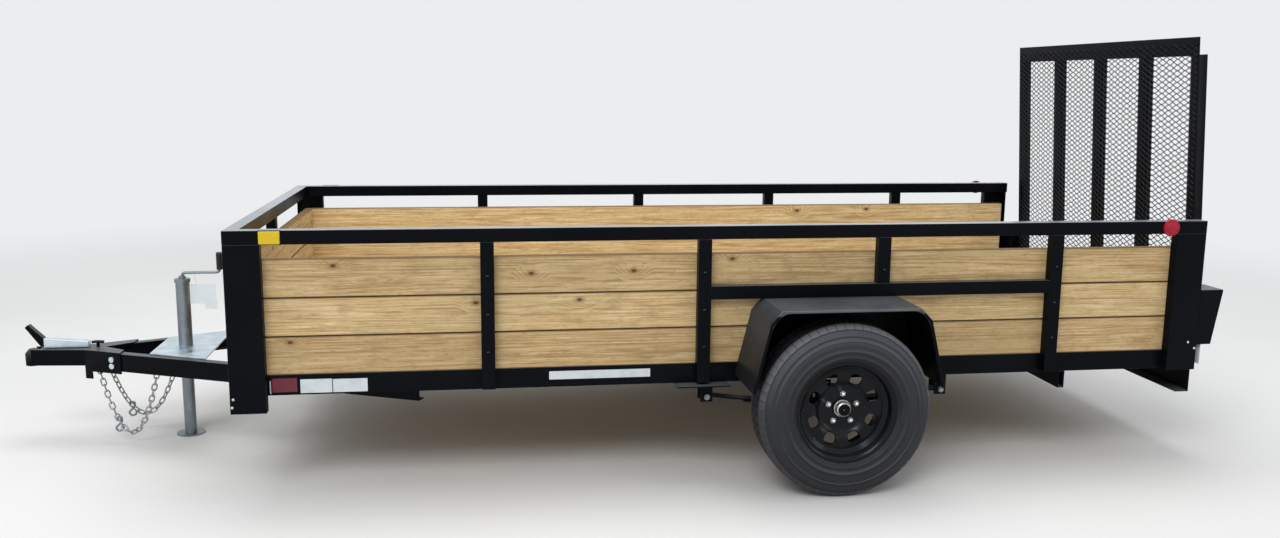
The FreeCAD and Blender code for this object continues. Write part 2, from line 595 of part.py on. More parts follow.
def make_axle():
    across = Vector(1, 0, 0)
    beam = cylinder("axle_beam", "@axle_radius", "2 * @axle_half",
                    ("@axle_x", "@axle_half", "@tyre_radius"), across, 90)
    reach = "@wheel_y + @spindle_tail"
    spindle = cylinder("axle_spindle", "@spindle_radius", "2 * (%s)" % reach,
                       ("@axle_x", reach, "@tyre_radius"), across, 90)
    return [fuse("axle", [beam, spindle])]


def arc_strip(half_span, dip, thick):
    """One leaf: a bowed strip between two arcs, in the XZ plane."""
    def bow(offset):
        return Part.Arc(Vector(-half_span, 0, -offset), Vector(0, 0, -dip - offset),
                        Vector(half_span, 0, -offset))
    upper, lower = bow(0), bow(thick)
    ends = [Part.LineSegment(upper.EndPoint, lower.EndPoint).toShape(),
            Part.LineSegment(lower.StartPoint, upper.StartPoint).toShape()]
    return Part.Face(Part.Wire([upper.toShape(), ends[0], lower.toShape(), ends[1]]))


def make_leaves():
    """Three leaves under the left end of the axle, the longest one with an eye at each end."""
    width, leaf, gap = number("@spring_width"), number("@leaf"), number("@leaf_gap")
    span, dip, eye = number("@spring_span"), number("@spring_dip"), number("@eye_radius")
    bolt_room = number("@hanger_bolt + @bolt_fit")
    sideways = Vector(0, width, 0)
    leaves = []
    for n, share in enumerate((1.0, 0.7, 0.4)):
        shim = gap * (n > 0)
        strip = arc_strip(span * share, dip * share * share, leaf - shim)
        strip.translate(Vector(0, 0, dip * share * share - n * leaf - shim))
        leaves.append(strip.extrude(sideways))
    main = leaves[0]
    for side in (-1, 1):
        spot = Vector(side * number("@eye_x"), 0, dip - leaf / 2)
        main = main.fuse(Part.makeCylinder(eye, width, spot, Vector(0, 1, 0)))
        main = main.cut(Part.makeCylinder(bolt_room, width, spot, Vector(0, 1, 0)))
    spring = doc.addObject("Part::Feature", "spring_left")
    spring.Shape = Part.makeCompound([main] + leaves[1:])
    spring.Placement = Placement(Vector(number("@axle_x"), -number("@spring_y + @spring_width / 2"),
                                        number("@axle_low")), Rotation())
    return spring


def make_hanger(n, side):
    """Two cheeks, a bolt through the spring's eye, and a roof that the front one draws out."""
    spot = "@axle_x + %d * @eye_x" % side
    low = "@eye_z - @hanger_drop"
    room = "(@spring_width / 2 + @hanger_gap)"
    cheeks = [box("hanger_%d_%s" % (n, word),
                  ("%s - @hanger_length / 2" % spot, "-@spring_y + %s" % shift, low),
                  ("@hanger_length", "@steel", "@rail_bottom - (%s)" % low))
              for word, shift in (("in", room), ("out", "-%s - @steel" % room))]
    ahead, behind, out = "@hanger_length / 2", "@hanger_length / 2", "0"
    if side < 0:
        ahead, behind, out = "@shelf_ahead", "@shelf_behind", "@shelf_reach"
    roof = box("hanger_%d_roof" % n,
               ("%s - %s" % (spot, ahead), "-@spring_y - %s - @steel - %s" % (room, out),
                "@rail_bottom - @steel"),
               ("%s + %s" % (ahead, behind), "2 * %s + 2 * @steel + %s" % (room, out), "@steel"))
    reach = "@spring_width / 2 + @hanger_tail"
    bolt = cylinder("hanger_%d_bolt" % n, "@hanger_bolt", "2 * (%s)" % reach,
                    (spot, "-@spring_y + %s" % reach, "@eye_z"), Vector(1, 0, 0), 90)
    return fuse("hanger_%d" % n, cheeks + [roof, bolt])


def make_clamp():
    """The plate under the leaves and the two U-bolts that tie it to the axle."""
    low = "@axle_low - 3 * @leaf - @clamp_plate"
    plate = box("spring_plate", ("@axle_x - @clamp_length / 2", "-@spring_y - @clamp_width / 2", low),
                ("@clamp_length", "@clamp_width", "@clamp_plate"))
    off_x = "(@axle_radius + @clamp_rod + @clamp_fit)"
    off_y = "(@spring_width / 2 + @clamp_rod + @clamp_fit)"
    rods = [cylinder("u_rod_%d" % n, "@clamp_rod",
                     "@axle_radius * 2 + 3 * @leaf + @clamp_plate + @clamp_tail",
                     ("@axle_x + %d * %s" % (side_x, off_x), "-@spring_y + %d * %s" % (side_y, off_y),
                      low))
            for n, (side_x, side_y) in enumerate(((-1, -1), (-1, 1), (1, -1), (1, 1)), 1)]
    bows = [box("u_bow_%d" % n,
                ("@axle_x - %s - @clamp_rod" % off_x,
                 "-@spring_y + %d * %s - @clamp_rod" % (side, off_y), "@tyre_radius + @axle_radius"),
                ("2 * (%s + @clamp_rod)" % off_x, "2 * @clamp_rod", "@clamp_bow"))
            for n, side in ((1, -1), (2, 1))]
    return fuse("clamp_side", [plate] + rods + bows)


def make_springs():
    hangers = together("hangers_side", [make_hanger(1, -1), make_hanger(2, 1)])
    return [pair("leaf_springs", make_leaves()), pair("spring_hangers", hangers),
            pair("axle_clamps", make_clamp())]


def mirrored_profile(corners):
    """Corners given as (radius, half width), followed by the same ones on the far side."""
    return ([(radius, "-(%s)" % half) for radius, half in corners]
            + [(radius, half) for radius, half in reversed(corners)])


def make_tyre():
    return revolve("tyre", [mirrored_profile((
        ("@bead_radius + @bead_fit", "@bead_half - @bead_fit"), ("@wall_radius", "@tyre_width / 2"),
        ("@shoulder_radius", "@shoulder_half"), ("@tyre_radius", "@tread_half")))],
        ("0", "0", "0"))


def make_rim():
    """A drop-centre rim with a dished disc, cut by a ring of windows."""
    rim = doc.addObject("PartDesign::Body", "rim")
    inner_well = "@well_radius - @rim_metal"
    disc_back, disc_face = "@disc_offset + @disc_rise", "@disc_offset + @disc_rise + @disc_metal"
    hole, window_high = "@cap_radius + @cap_fit", "@well_radius - @window_rim"
    barrel = (("@rim_flange", "@flange_half + @rim_metal"),
              ("@bead_radius - 1.2 * @rim_metal", "@bead_half + @rim_metal"),
              (inner_well, "@well_half + @rim_metal"))
    profile = mirrored_profile((("@rim_flange", "@flange_half"), ("@bead_radius", "@bead_half"),
                                ("@well_radius", "@well_half")))
    profile += list(barrel)
    profile += [(inner_well, disc_face), ("@window_mid", disc_face),
                ("@disc_flat", "@disc_offset + @disc_metal"),
                (hole, "@disc_offset + @disc_metal"), (hole, "@disc_offset"),
                ("@disc_flat + @disc_shift", "@disc_offset"),
                ("@window_mid + @disc_shift / 2", disc_back),
                (inner_well, disc_back)]
    profile += [(radius, "-(%s)" % half) for radius, half in reversed(barrel)]
    sketch = sketched(rim, "rim_sketch", "XY_Plane", [profile])
    turn = rim.newObject("PartDesign::Revolution", "rim_turn")
    turn.Profile = sketch
    turn.ReferenceAxis = (sketch, ["V_Axis"])
    turn.Angle = 360
    window = sketched(rim, "rim_window", "XZ_Plane",
                      [[("-@window_low_half", "@window_low"), ("@window_low_half", "@window_low"),
                        ("@window_high_half", window_high), ("-@window_high_half", window_high)]])
    # The first window stands half a step from the vertical, so that a spoke points down.
    window.AttachmentOffset = Placement(Vector(), Rotation(Vector(0, 0, 1), 1))
    bind(window, "AttachmentOffset.Rotation.Angle", "180 / @window_count")
    holes = rim.newObject("PartDesign::Pocket", "rim_holes")
    holes.Profile = window
    holes.Type = "ThroughAll"
    holes.Midplane = True
    doc.recompute()
    ring = rim.newObject("PartDesign::PolarPattern", "rim_windows")
    ring.Originals = [holes]
    ring.Axis = (origin_plane(rim, "Y_Axis"), [""])
    ring.Angle = 360
    bind(ring, "Occurrences", "@window_count")
    rim.Tip = ring
    return name_it(rim, "rim")


def make_hub():
    face = "@disc_offset + @cap_length"
    bore = "@spindle_radius + @spindle_gap"
    return revolve("hub", [[
        (bore, "-@hub_depth"), ("@hub_radius", "-@hub_depth"), ("@hub_radius", "-@flange_set"),
        ("@hub_flange", "-@flange_set"), ("@hub_flange", "@disc_offset"),
        ("@cap_radius", "@disc_offset"), ("@cap_radius", face),
        ("@cap_radius - @cap_bevel", "%s + @cap_rise" % face),
        ("@cap_hole", "%s + @cap_rise" % face), ("@cap_hole", face), (bore, face)]],
        ("0", "0", "0"))


def make_nuts():
    nuts = []
    count = int(number("@nut_count"))
    for n in range(count):
        turned = "%d * 360 / @nut_count + 90" % n
        nut = doc.addObject("Part::Prism", "nut_%d" % n)
        nut.Polygon = 6
        bind(nut, "Circumradius", "@nut_radius")
        bind(nut, "Height", "@nut_length")
        nuts.append(put(nut, ("@bolt_circle * cos(%s)" % turned, "@disc_offset + @disc_metal",
                              "@bolt_circle * sin(%s)" % turned), Vector(1, 0, 0), -90))
    return together("lug_nuts", nuts)


def make_wheels():
    """Tyre, rim, hub and nuts, drawn with +Y out of the left side and set on both sides."""
    made = []
    pieces = (("tyre", make_tyre()), ("rim", make_rim()), ("hub", make_hub()),
              ("lug_nuts", make_nuts()))
    for stem, source in pieces:
        turned = put(together(stem + "_left", [source]), ("@axle_x", "-@wheel_y", "@tyre_radius"),
                     Vector(0, 0, 1), 180)
        made += both_sides(stem, turned)
    return made


def gate_place(thing):
    return put(thing, ("@hinge_x", "0", "@gate_hinge_height"), Vector(0, -1, 0), "@gate_lean")


def comb_outline(low, neck, top):
    """The gate's lower rail with its posts standing on it, as one closed outline."""
    last = int(number("@gate_posts")) - 1
    points = [("-@gate_width / 2", low), ("@gate_width / 2", low)]
    for n in range(last, -1, -1):
        left = "(-@gate_width / 2 + %d * (@gate_width - @gate_tube) / %d)" % (n, last)
        right = "(%s + @gate_tube)" % left
        points += [(right, top), (left, top)]
        if n:
            before = "(-@gate_width / 2 + %d * (@gate_width - @gate_tube) / %d + @gate_tube)" % (
                n - 1, last)
            points += [(left, neck), (before, neck)]
    return points


def make_gate():
    """The ramp gate, drawn upright about its hinge line and then leaned forward."""
    face = "-@gate_face"
    shelf = "@gate_height - @gate_angle"
    comb = pad("gate_comb", "YZ_Plane",
               [comb_outline("@gate_start", "@gate_start + @gate_tube", shelf)], "@gate_depth",
               (face, "0", "0"))
    top = pad("gate_top", "XZ_Plane",
              [[("0", "0"), ("@gate_depth", "0"), ("@gate_depth", "@steel"), ("@steel", "@steel"),
                ("@steel", "@gate_angle"), ("0", "@gate_angle")]],
              "@gate_width", (face, "@gate_width / 2", shelf))
    sleeves = []
    for n, spot in ((1, "-@hinge_y"), (2, "@hinge_y")):
        barrel = pad("gate_sleeve_%d" % n, "XZ_Plane", [], "@sleeve_length",
                     ("0", "%s + @sleeve_length / 2" % spot, "0"),
                     circles=[(("0", "0"), "@sleeve_radius"), (("0", "0"), "@pin_radius + @pin_fit")])
        tab = box("gate_sleeve_tab_%d" % n,
                  ("-@tab_thick / 2", "%s - @sleeve_length / 2" % spot, "@sleeve_radius - @tab_bite"),
                  ("@tab_thick", "@sleeve_length", "@gate_start - @sleeve_radius + @tab_bite"))
        sleeves += [barrel, tab]
    frame = gate_place(fuse("gate_frame", [comb, top] + sleeves))
    mesh = box("mesh_sheet", ("%s - @mesh_thick" % face, "-@gate_width / 2 + @mesh_set",
                              "@gate_start + @mesh_set"),
               ("@mesh_thick", "@gate_width - 2 * @mesh_set",
                "@gate_height - @gate_start - @mesh_set - @mesh_top_set"))
    return [frame, gate_place(together("gate_mesh", [mesh]))]


def make_hinges():
    """Ears on the rear sill that carry a pin through each gate sleeve."""
    solids = []
    clear = "(@sleeve_length / 2 + @sleeve_clear)"
    for n, spot in ((1, "-@hinge_y"), (2, "@hinge_y")):
        ears = [box("ear_%d_%s" % (n, word),
                    ("@rear + @sill_set", "%s %s" % (spot, shift),
                     "@gate_hinge_height - @sleeve_radius"),
                    ("@gate_hinge_back - @sill_set + @sleeve_radius", "@ear_thick",
                     "2 * @sleeve_radius"))
                for word, shift in (("a", "- %s - @ear_thick" % clear), ("b", "+ %s" % clear))]
        reach = "(%s + @ear_thick + @pin_tail)" % clear
        pin = cylinder("hinge_pin_%d" % n, "@pin_radius", "2 * %s" % reach,
                       ("@hinge_x", "%s + %s" % (spot, reach), "@gate_hinge_height"),
                       Vector(1, 0, 0), 90)
        solids.append(fuse("hinge_%d" % n, ears + [pin]))
    return [together("gate_hinges", solids)]


def make_lamps():
    """Boxes at the rear corners, their lamps, and the side markers."""
    low, high = "@lamp_box_low", "@lamp_box_high"
    block = pad("lamp_block", "XZ_Plane",
                [[("0", low), ("@lamp_box_foot", low), ("@rear_reach", "%s - @lamp_box_lip" % high),
                  ("@rear_reach", high), ("0", high)]],
                "@lamp_box_width", ("@rear", "-@half + @lamp_box_width", "0"))
    past = "@rear_reach + 5"
    room = pad("lamp_room", "XZ_Plane",
               [[("@steel", "%s + @steel" % low), (past, "%s + @steel" % low),
                 (past, "%s - @steel" % high), ("@steel", "%s - @steel" % high)]],
               "@lamp_box_width - 2 * @steel", ("@rear", "-@half + @lamp_box_width - @steel", "0"))
    lamp = pad("tail_lamp", "YZ_Plane",
               [rectangle("@steel + @lamp_fit", "%s + @lamp_rise" % low,
                          "@lamp_box_width - 2 * (@steel + @lamp_fit)", "@lamp_height")],
               "@lamp_depth", ("@rear + @steel", "-@half", "0"))
    amber = box("amber_left", ("@front + @corner_face", "-@half - @amber_depth",
                              "@tube_low + @amber_rise"),
                ("@amber_length", "@amber_depth", "@amber_height"))
    red = cylinder("red_left", "@red_radius", "@red_depth",
                   ("@rear - @red_set", "-@half", "@tube_low + @tube / 2"), Vector(1, 0, 0), 90)
    reflex = box("reflector_left_block", ("@front + @reflector_set", "-@wall - @reflector_thick",
                                          "@rail_bottom + @reflector_lift"),
                 ("@reflector_length", "@reflector_thick", "@reflector_height"))
    return [pair("lamp_boxes", cut("lamp_box", block, room)), pair("tail_lamps", lamp),
            pair("amber_markers", amber), pair("red_markers", red),
            pair("side_reflectors", reflex)]


def make_plate_bracket():
    """A small plain plate under the left lamp box, held by an arm from the sill."""
    blank = box("plate_blank", ("@rear + @sill_set + @bracket_arm", "-@half + @bracket_set",
                                "@lamp_box_low - @bracket_height"),
                ("@bracket_thick", "@bracket_width", "@bracket_height"))
    arm = box("plate_arm", ("@rear + @sill_set", "-@half + @bracket_arm_place",
                            "@lamp_box_low - @bracket_arm_drop"),
              ("@bracket_arm", "@bracket_arm", "@bracket_arm_height"))
    return [fuse("plate_bracket", [blank, arm])]


def failures(parts):
    wrong = []
    for thing in doc.Objects:
        if "Invalid" in thing.State or "Error" in thing.State:
            wrong.append("%s: %s" % (thing.Label, thing.State))
    for thing in parts:
        if thing.Shape.isNull() or not thing.Shape.isValid() or not thing.Shape.Solids:
            wrong.append("%s: bad shape" % thing.Label)
    return wrong


def export(parts):
    os.makedirs("parts", exist_ok=True)
    for thing in parts:
        thing.Shape.exportStep("parts/%s.step" % thing.Label)
        print("%-24s solids %2d  volume %.0f cm3" % (
            thing.Label, len(thing.Shape.Solids), thing.Shape.Volume / 1000))


def main():
    fill_sheet()
    parts = (make_frame() + make_tongue() + make_coupler() + make_jack() + make_chains()
             + make_boards() + make_uprights() + make_top_rails() + make_fenders() + make_axle()
             + make_springs() + make_wheels() + make_gate() + make_hinges() + make_lamps()
             + make_plate_bracket())
    doc.recompute()
    wrong = failures(parts)
    if wrong:
        raise SystemExit("Not written: " + "; ".join(wrong))
    export(parts)


main()
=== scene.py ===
"""Looks of a single-axle utility trailer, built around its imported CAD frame."""

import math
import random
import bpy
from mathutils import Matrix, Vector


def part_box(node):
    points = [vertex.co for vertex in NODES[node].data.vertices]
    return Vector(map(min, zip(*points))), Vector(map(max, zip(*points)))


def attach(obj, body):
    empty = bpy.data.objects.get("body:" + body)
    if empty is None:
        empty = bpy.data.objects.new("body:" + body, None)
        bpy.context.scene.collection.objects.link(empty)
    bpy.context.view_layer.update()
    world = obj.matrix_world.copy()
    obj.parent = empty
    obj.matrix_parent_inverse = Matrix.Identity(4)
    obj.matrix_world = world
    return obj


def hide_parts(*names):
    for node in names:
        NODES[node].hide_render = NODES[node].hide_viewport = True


bl_info = {
    "name": "Utility trailer",
    "version": (1, 0, 0),
    "blender": (4, 5, 0),
    "location": "3D View > Sidebar > Trailer",
    "description": "Timber, powder-coated steel, wheels and fittings of a utility trailer",
    "category": "Object",
}

import bmesh
import bpy
from bpy.props import FloatProperty, FloatVectorProperty, IntProperty, PointerProperty
from mathutils import Matrix, Vector

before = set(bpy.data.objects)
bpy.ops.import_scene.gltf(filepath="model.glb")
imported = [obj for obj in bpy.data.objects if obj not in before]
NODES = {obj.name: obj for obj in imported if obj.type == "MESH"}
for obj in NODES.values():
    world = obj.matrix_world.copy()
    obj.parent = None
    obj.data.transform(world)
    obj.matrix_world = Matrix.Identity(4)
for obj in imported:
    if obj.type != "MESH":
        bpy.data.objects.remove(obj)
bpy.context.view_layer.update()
UP = Vector((0, 0, 1))
SIDES = (("left", -1), ("right", 1))
HALF_TURN = Matrix.Rotation(math.pi, 4, "Z")
AXIS_UP = Matrix.Rotation(math.pi / 2, 4, "X")
SAME_SPOT = 2e-5
BACKDROP = {"Color": (0.97, 0.985, 1.0, 1.0), "Strength": 0.86}


# Properties that a user would change


class TrailerFinish(bpy.types.PropertyGroup):
    """Colours of the trailer's finishes"""

    black: FloatVectorProperty(
        name="Powder coat", description="Black coat on the steel frame", subtype="COLOR",
        default=(0.0022, 0.0028, 0.0042), min=0, max=1)
    pine: FloatVectorProperty(
        name="Pine", description="Earlywood of the boards", subtype="COLOR",
        default=(0.595, 0.422, 0.208), min=0, max=1)
    latewood: FloatVectorProperty(
        name="Latewood", description="Dark rings of the boards", subtype="COLOR",
        default=(0.335, 0.190, 0.066), min=0, max=1)
    rubber: FloatVectorProperty(
        name="Rubber", description="Tyres and the crank's grip", subtype="COLOR",
        default=(0.0105, 0.0112, 0.0140), min=0, max=1)
    zinc: FloatVectorProperty(
        name="Zinc", description="Plated jack, chains and bolts", subtype="COLOR",
        default=(0.29, 0.325, 0.355), min=0, max=1)
    red: FloatVectorProperty(
        name="Red lens", description="Rear lamps, side markers and reflectors", subtype="COLOR",
        default=(0.47, 0.006, 0.030), min=0, max=1)
    amber: FloatVectorProperty(
        name="Amber lens", description="Front side markers", subtype="COLOR",
        default=(0.90, 0.60, 0.02), min=0, max=1)
    card: FloatVectorProperty(
        name="White", description="Blank plate, tag and stickers", subtype="COLOR",
        default=(0.62, 0.67, 0.70), min=0, max=1)


class TrailerDetail(bpy.types.PropertyGroup):
    """Sizes of the detail that the CAD solids leave out"""

    steel_edge: FloatProperty(
        name="Steel edge", description="Radius of the folded and sawn steel edges",
        default=0.0018, min=0.0005, max=0.004, unit="LENGTH")
    board_edge: FloatProperty(
        name="Board edge", description="Eased radius of the boards' edges",
        default=0.0035, min=0.001, max=0.008, unit="LENGTH")
    mesh_long: FloatProperty(
        name="Diamond length", description="Long way of the gate's expanded metal",
        default=0.051, min=0.02, max=0.1, unit="LENGTH")
    mesh_short: FloatProperty(
        name="Diamond height", description="Short way of the gate's expanded metal",
        default=0.0235, min=0.01, max=0.05, unit="LENGTH")
    strand: FloatProperty(
        name="Strand", description="Width of a strand of the expanded metal",
        default=0.0026, min=0.001, max=0.005, unit="LENGTH")
    tread_pitches: IntProperty(
        name="Tread pitches", description="Repeats of the tread round a tyre",
        default=60, min=24, max=90)
    tread_depth: FloatProperty(
        name="Tread depth", description="Depth of the grooves between the tread blocks",
        default=0.008, min=0.002, max=0.012, unit="LENGTH")
    nuts: IntProperty(
        name="Wheel nuts", description="Nuts on each wheel", default=5, min=4, max=8)
    windows: IntProperty(
        name="Wheel windows", description="Windows pressed in each wheel's disc",
        default=8, min=5, max=12)
    bolt_head: FloatProperty(
        name="Bolt head", description="Radius of the heads that hold the boards",
        default=0.0095, min=0.004, max=0.015, unit="LENGTH")
    link_wire: FloatProperty(
        name="Link wire", description="Diameter of the safety chains' wire",
        default=0.0064, min=0.004, max=0.01, unit="LENGTH")


def finish():
    """The colours that the panel shows."""
    return bpy.context.scene.trailer_finish


def detail():
    """The sizes that the panel shows."""
    return bpy.context.scene.trailer_detail


# Node trees


class Graph:
    """Adds nodes to a tree, each with its inputs set or linked."""

    def __init__(self, tree):
        self.tree = tree

    def give(self, socket, value):
        """Links an input to a socket, or sets it to a plain value."""
        if isinstance(value, bpy.types.NodeSocket):
            self.tree.links.new(value, socket)
        else:
            socket.default_value = value

    def add(self, kind, inputs=None, **settings):
        node = self.tree.nodes.new(kind)
        for key, value in settings.items():
            setattr(node, key, value)
        for key, value in (inputs or {}).items():
            self.give(node.inputs[key], value)
        return node

    def made(self, kind, inputs=None, **settings):
        """What such a node puts out first."""
        return self.add(kind, inputs, **settings).outputs[0]

    def math(self, operation, first, second=0.0):
        return self.made("ShaderNodeMath", {0: first, 1: second}, operation=operation)

    def times(self, first, second):
        return self.math("MULTIPLY", first, second)

    def plus(self, first, second):
        return self.math("ADD", first, second)

    def minus(self, first, second):
        return self.math("SUBTRACT", first, second)

    def vector(self, operation, first, second=(0, 0, 0)):
        node = self.add("ShaderNodeVectorMath", {0: first, 1: second}, operation=operation)
        return node.outputs["Value" if operation in ("LENGTH", "DOT_PRODUCT") else "Vector"]

    def parts(self, vector):
        """A vector's X, Y and Z."""
        return self.add("ShaderNodeSeparateXYZ", {0: vector}).outputs

    def joined(self, x=0.0, y=0.0, z=0.0):
        """A vector of X, Y and Z."""
        return self.made("ShaderNodeCombineXYZ", {0: x, 1: y, 2: z})

    def noise(self, coords, scale, octaves=2.0, roughness=0.5):
        return self.made("ShaderNodeTexNoise", {"Vector": coords, "Scale": scale,
                                                "Detail": octaves, "Roughness": roughness})

    def ranged(self, value, low, high, to_low=0.0, to_high=1.0):
        """The value eased from one range into another, and held at its ends."""
        return self.made("ShaderNodeMapRange", {0: value, 1: low, 2: high, 3: to_low, 4: to_high},
                         interpolation_type="SMOOTHSTEP")

    def mixed(self, share, first, second, blend="MIX"):
        """The second colour laid over the first, by a share from 0 to 1."""
        node = self.add("ShaderNodeMix", {0: share}, data_type="RGBA", blend_type=blend)
        for index, value in ((6, first), (7, second)):
            linked = isinstance(value, bpy.types.NodeSocket)
            self.give(node.inputs[index], value if linked else (*value, 1.0))
        return node.outputs[2]


class Finish(Graph):
    """A material made of one Principled shader and what feeds it."""

    def __init__(self, name, **sockets):
        self.material = bpy.data.materials.new(name)
        self.material.use_nodes = True
        super().__init__(self.material.node_tree)
        self.tree.nodes.clear()
        self.shader = self.add("ShaderNodeBsdfPrincipled")
        self.out = self.add("ShaderNodeOutputMaterial", {0: self.shader.outputs[0]})
        for key, value in sockets.items():
            self.shader.inputs[key.replace("_", " ")].default_value = value
        self.coords = self.add("ShaderNodeTexCoord").outputs["Object"]

    def feed(self, **sockets):
        for key, value in sockets.items():
            self.tree.links.new(value, self.shader.inputs[key.replace("_", " ")])

    def bump(self, height, distance, strength=1.0):
        self.feed(Normal=self.made("ShaderNodeBump", {
            "Strength": strength, "Distance": distance, "Height": height}))

    def rise(self, low, high):
        """How far the surface faces up, from 0 to 1 between two heights of its normal."""
        normal = self.add("ShaderNodeNewGeometry").outputs["Normal"]
        return self.ranged(self.vector("DOT_PRODUCT", normal, UP), low, high)

    def attribute(self, name, output="Fac"):
        return self.add("ShaderNodeAttribute", attribute_name=name).outputs[output]

    def tint(self, red, green, blue):
        return self.made("ShaderNodeCombineColor", {0: red, 1: green, 2: blue})

    def chance(self, cells):
        """A random value for each cell of a Voronoi texture."""
        return self.made("ShaderNodeSeparateColor", {0: cells.outputs["Color"]})


def tinted(colour, factor):
    """The colour brighter or darker by a factor, with no channel past 1."""
    return tuple(min(channel * factor, 1.0) for channel in colour)


def coated_steel(name, colour, roughness=0.3, dust_and_sheen=0.85, gloss=0.055, pale=1.05, edge=None):
    """Black powder coat: a fine peel, dusty paint and a painted sheen on what faces up, duller
    patches.

    'pale' brightens that pale top, and 'edge' is how far out in Y and how high a folded edge
    lies that gets a painted highlight.
    """
    it = Finish(name, IOR=1.5, Specular_IOR_Level=gloss)
    patches = it.noise(it.coords, 2.6, 4)
    facing_up = it.rise(0.0, 0.95)
    share = it.times(facing_up, it.ranged(patches, 0.25, 0.75, 0.55 * dust_and_sheen, dust_and_sheen))
    base = it.mixed(it.ranged(patches, 0.35, 0.7), colour, tinted(colour, 1.4))
    # The pale grey on the top faces: partly dirt, partly a painted sheen of the light from above.
    base = it.mixed(share, base, tinted((0.105, 0.115, 0.125), pale))
    # Painted highlight: a pale band along the folded outer edge, where the fold would catch the
    # light.
    if edge:
        out, height = edge
        place = it.parts(it.coords)
        near = it.times(it.ranged(it.math("ABSOLUTE", place[1]), out - 0.011, out - 0.006),
                        it.ranged(place[2], height - 0.022, height - 0.012))
        painted_fold_highlight = it.times(near, it.ranged(patches, 0.30, 0.60, 0.55, 0.95))
        base = it.mixed(painted_fold_highlight, base, (0.13, 0.14, 0.155))
    it.feed(Base_Color=base,
            Roughness=it.minus(it.ranged(patches, 0.3, 0.75, roughness, roughness + 0.1),
                               it.times(facing_up, 0.10)))
    it.bump(it.noise(it.coords, 420, 1), 0.00012, 0.5)
    return it.material


def sawn_pine(name="pine"):
    """Flat-sawn pine: rings about each board's own pith, knots that bend them, and a pale wash."""
    it = Finish(name, IOR=1.45, Specular_IOR_Level=0.22)
    grain = it.attribute("grain", "Vector")
    tone = it.attribute("tone")
    spot = it.parts(grain)

    def cloud(along, across, octaves, rough=0.5, start=grain):
        """Noise drawn out along the board, by its scales along and across it."""
        stretched = it.vector("MULTIPLY", start, (along, across, across))
        return it.noise(stretched, 1.0, octaves, rough)

    def wander(along, across, octaves, reach):
        """Such a noise about zero, times a reach."""
        return it.times(it.minus(cloud(along, across, octaves), 0.5), reach)

    # Knots: a little under half of the cells hold one, and the rings swell round it.
    per_metre, knot_free, long_cells = 4.3, 0.55, 0.6
    flat = it.joined(it.times(spot[0], long_cells), spot[1])
    cells = it.add("ShaderNodeTexVoronoi", {"Vector": flat, "Scale": per_metre,
                   "Randomness": 0.85}, voronoi_dimensions="2D")
    holds = it.math("GREATER_THAN", it.chance(cells), knot_free)
    away = it.math("DIVIDE", cells.outputs["Distance"], per_metre)
    swell, core, halo = [it.times(it.ranged(away, *fall, 0.0), holds) for fall in (
        (0.0, 0.05, 0.022), (0.004, 0.008, 0.9), (0.006, 0.020, 1.0))]
    # Rings, each 7.2 mm wide with its dark latewood at its outer edge.
    across = it.plus(spot[1], wander(1.1, 7.0, 3, 0.030))
    radius = it.vector("LENGTH", it.joined(across, spot[2]))
    radius = it.plus(it.plus(radius, wander(6.0, 60.0, 2, 0.0045)), swell)
    ring = it.math("FRACT", it.times(radius, 1 / 0.0072))
    late = it.times(it.ranged(ring, 0.30, 0.88), it.ranged(ring, 0.90, 1.0, 1.0, 0.0))
    # The rings fade in and out along the board.
    blotch = cloud(1.6, 9.0, 3)
    fade = it.ranged(cloud(4.5, 34.0, 3, 0.6), 0.38, 0.60)
    strength = it.times(it.ranged(blotch, 0.30, 0.72, 0.6, 1.0),
                        it.ranged(fade, 0.0, 1.0, 0.20, 1.0))
    colour = it.mixed(it.times(late, strength), tuple(finish().pine), tuple(finish().latewood))
    # Over them lie dark streaks, pale sheen, mottle, flecks and blotches: each a noise, the
    # range in which it comes in, its full share and its colour.
    streak = cloud(4.2, 170.0, 4, 0.66)
    shifted = it.vector("ADD", grain, (3.7, 1.3, 0.0))
    for noise, low, high, share, wash in (
            (streak, 0.50, 0.70, 0.82, (0.32, 0.195, 0.08)),
            (cloud(3.6, 120.0, 4, 0.62, shifted), 0.48, 0.68, 0.68, (0.78, 0.61, 0.37)),
            (cloud(9.0, 26.0, 4, 0.66, shifted), 0.50, 0.70, 0.55, (0.37, 0.24, 0.11)),
            (cloud(34.0, 150.0, 3, 0.6, shifted), 0.54, 0.70, 0.60, (0.36, 0.23, 0.10)),
            (blotch, 0.40, 0.80, 0.30, (0.46, 0.37, 0.20))):
        colour = it.mixed(it.ranged(noise, low, high, 0.0, share), colour, wash)
    # A board's tone makes it lighter and a little less yellow; the high tones of the right side's
    # boards and the front's are painted light.
    shade = it.plus(it.times(it.plus(tone, wander(1.3, 3.0, 1, 0.9)), 0.28), 0.80)
    green, blue = [it.times(shade, it.plus(it.times(tone, gain), least))
                   for gain, least in ((0.04, 0.98), (0.08, 0.96))]
    colour = it.mixed(1.0, colour, it.tint(shade, green, blue), "MULTIPLY")
    # Knots and the board's darker long edges lie on top.
    colour = it.mixed(it.times(halo, 0.55), colour, (0.25, 0.135, 0.05))
    colour = it.mixed(core, colour, (0.085, 0.042, 0.018))
    brink = it.math("ABSOLUTE", it.attribute("brink"))
    colour = it.mixed(it.ranged(brink, 0.925, 0.985, 0.0, 0.8), colour, (0.15, 0.085, 0.034))
    it.feed(Base_Color=colour, Roughness=it.ranged(late, 0.0, 1.0, 0.78, 0.62))
    it.bump(it.plus(it.times(late, 0.6), it.times(streak, 0.7)), 0.0005, 0.4)
    return it.material


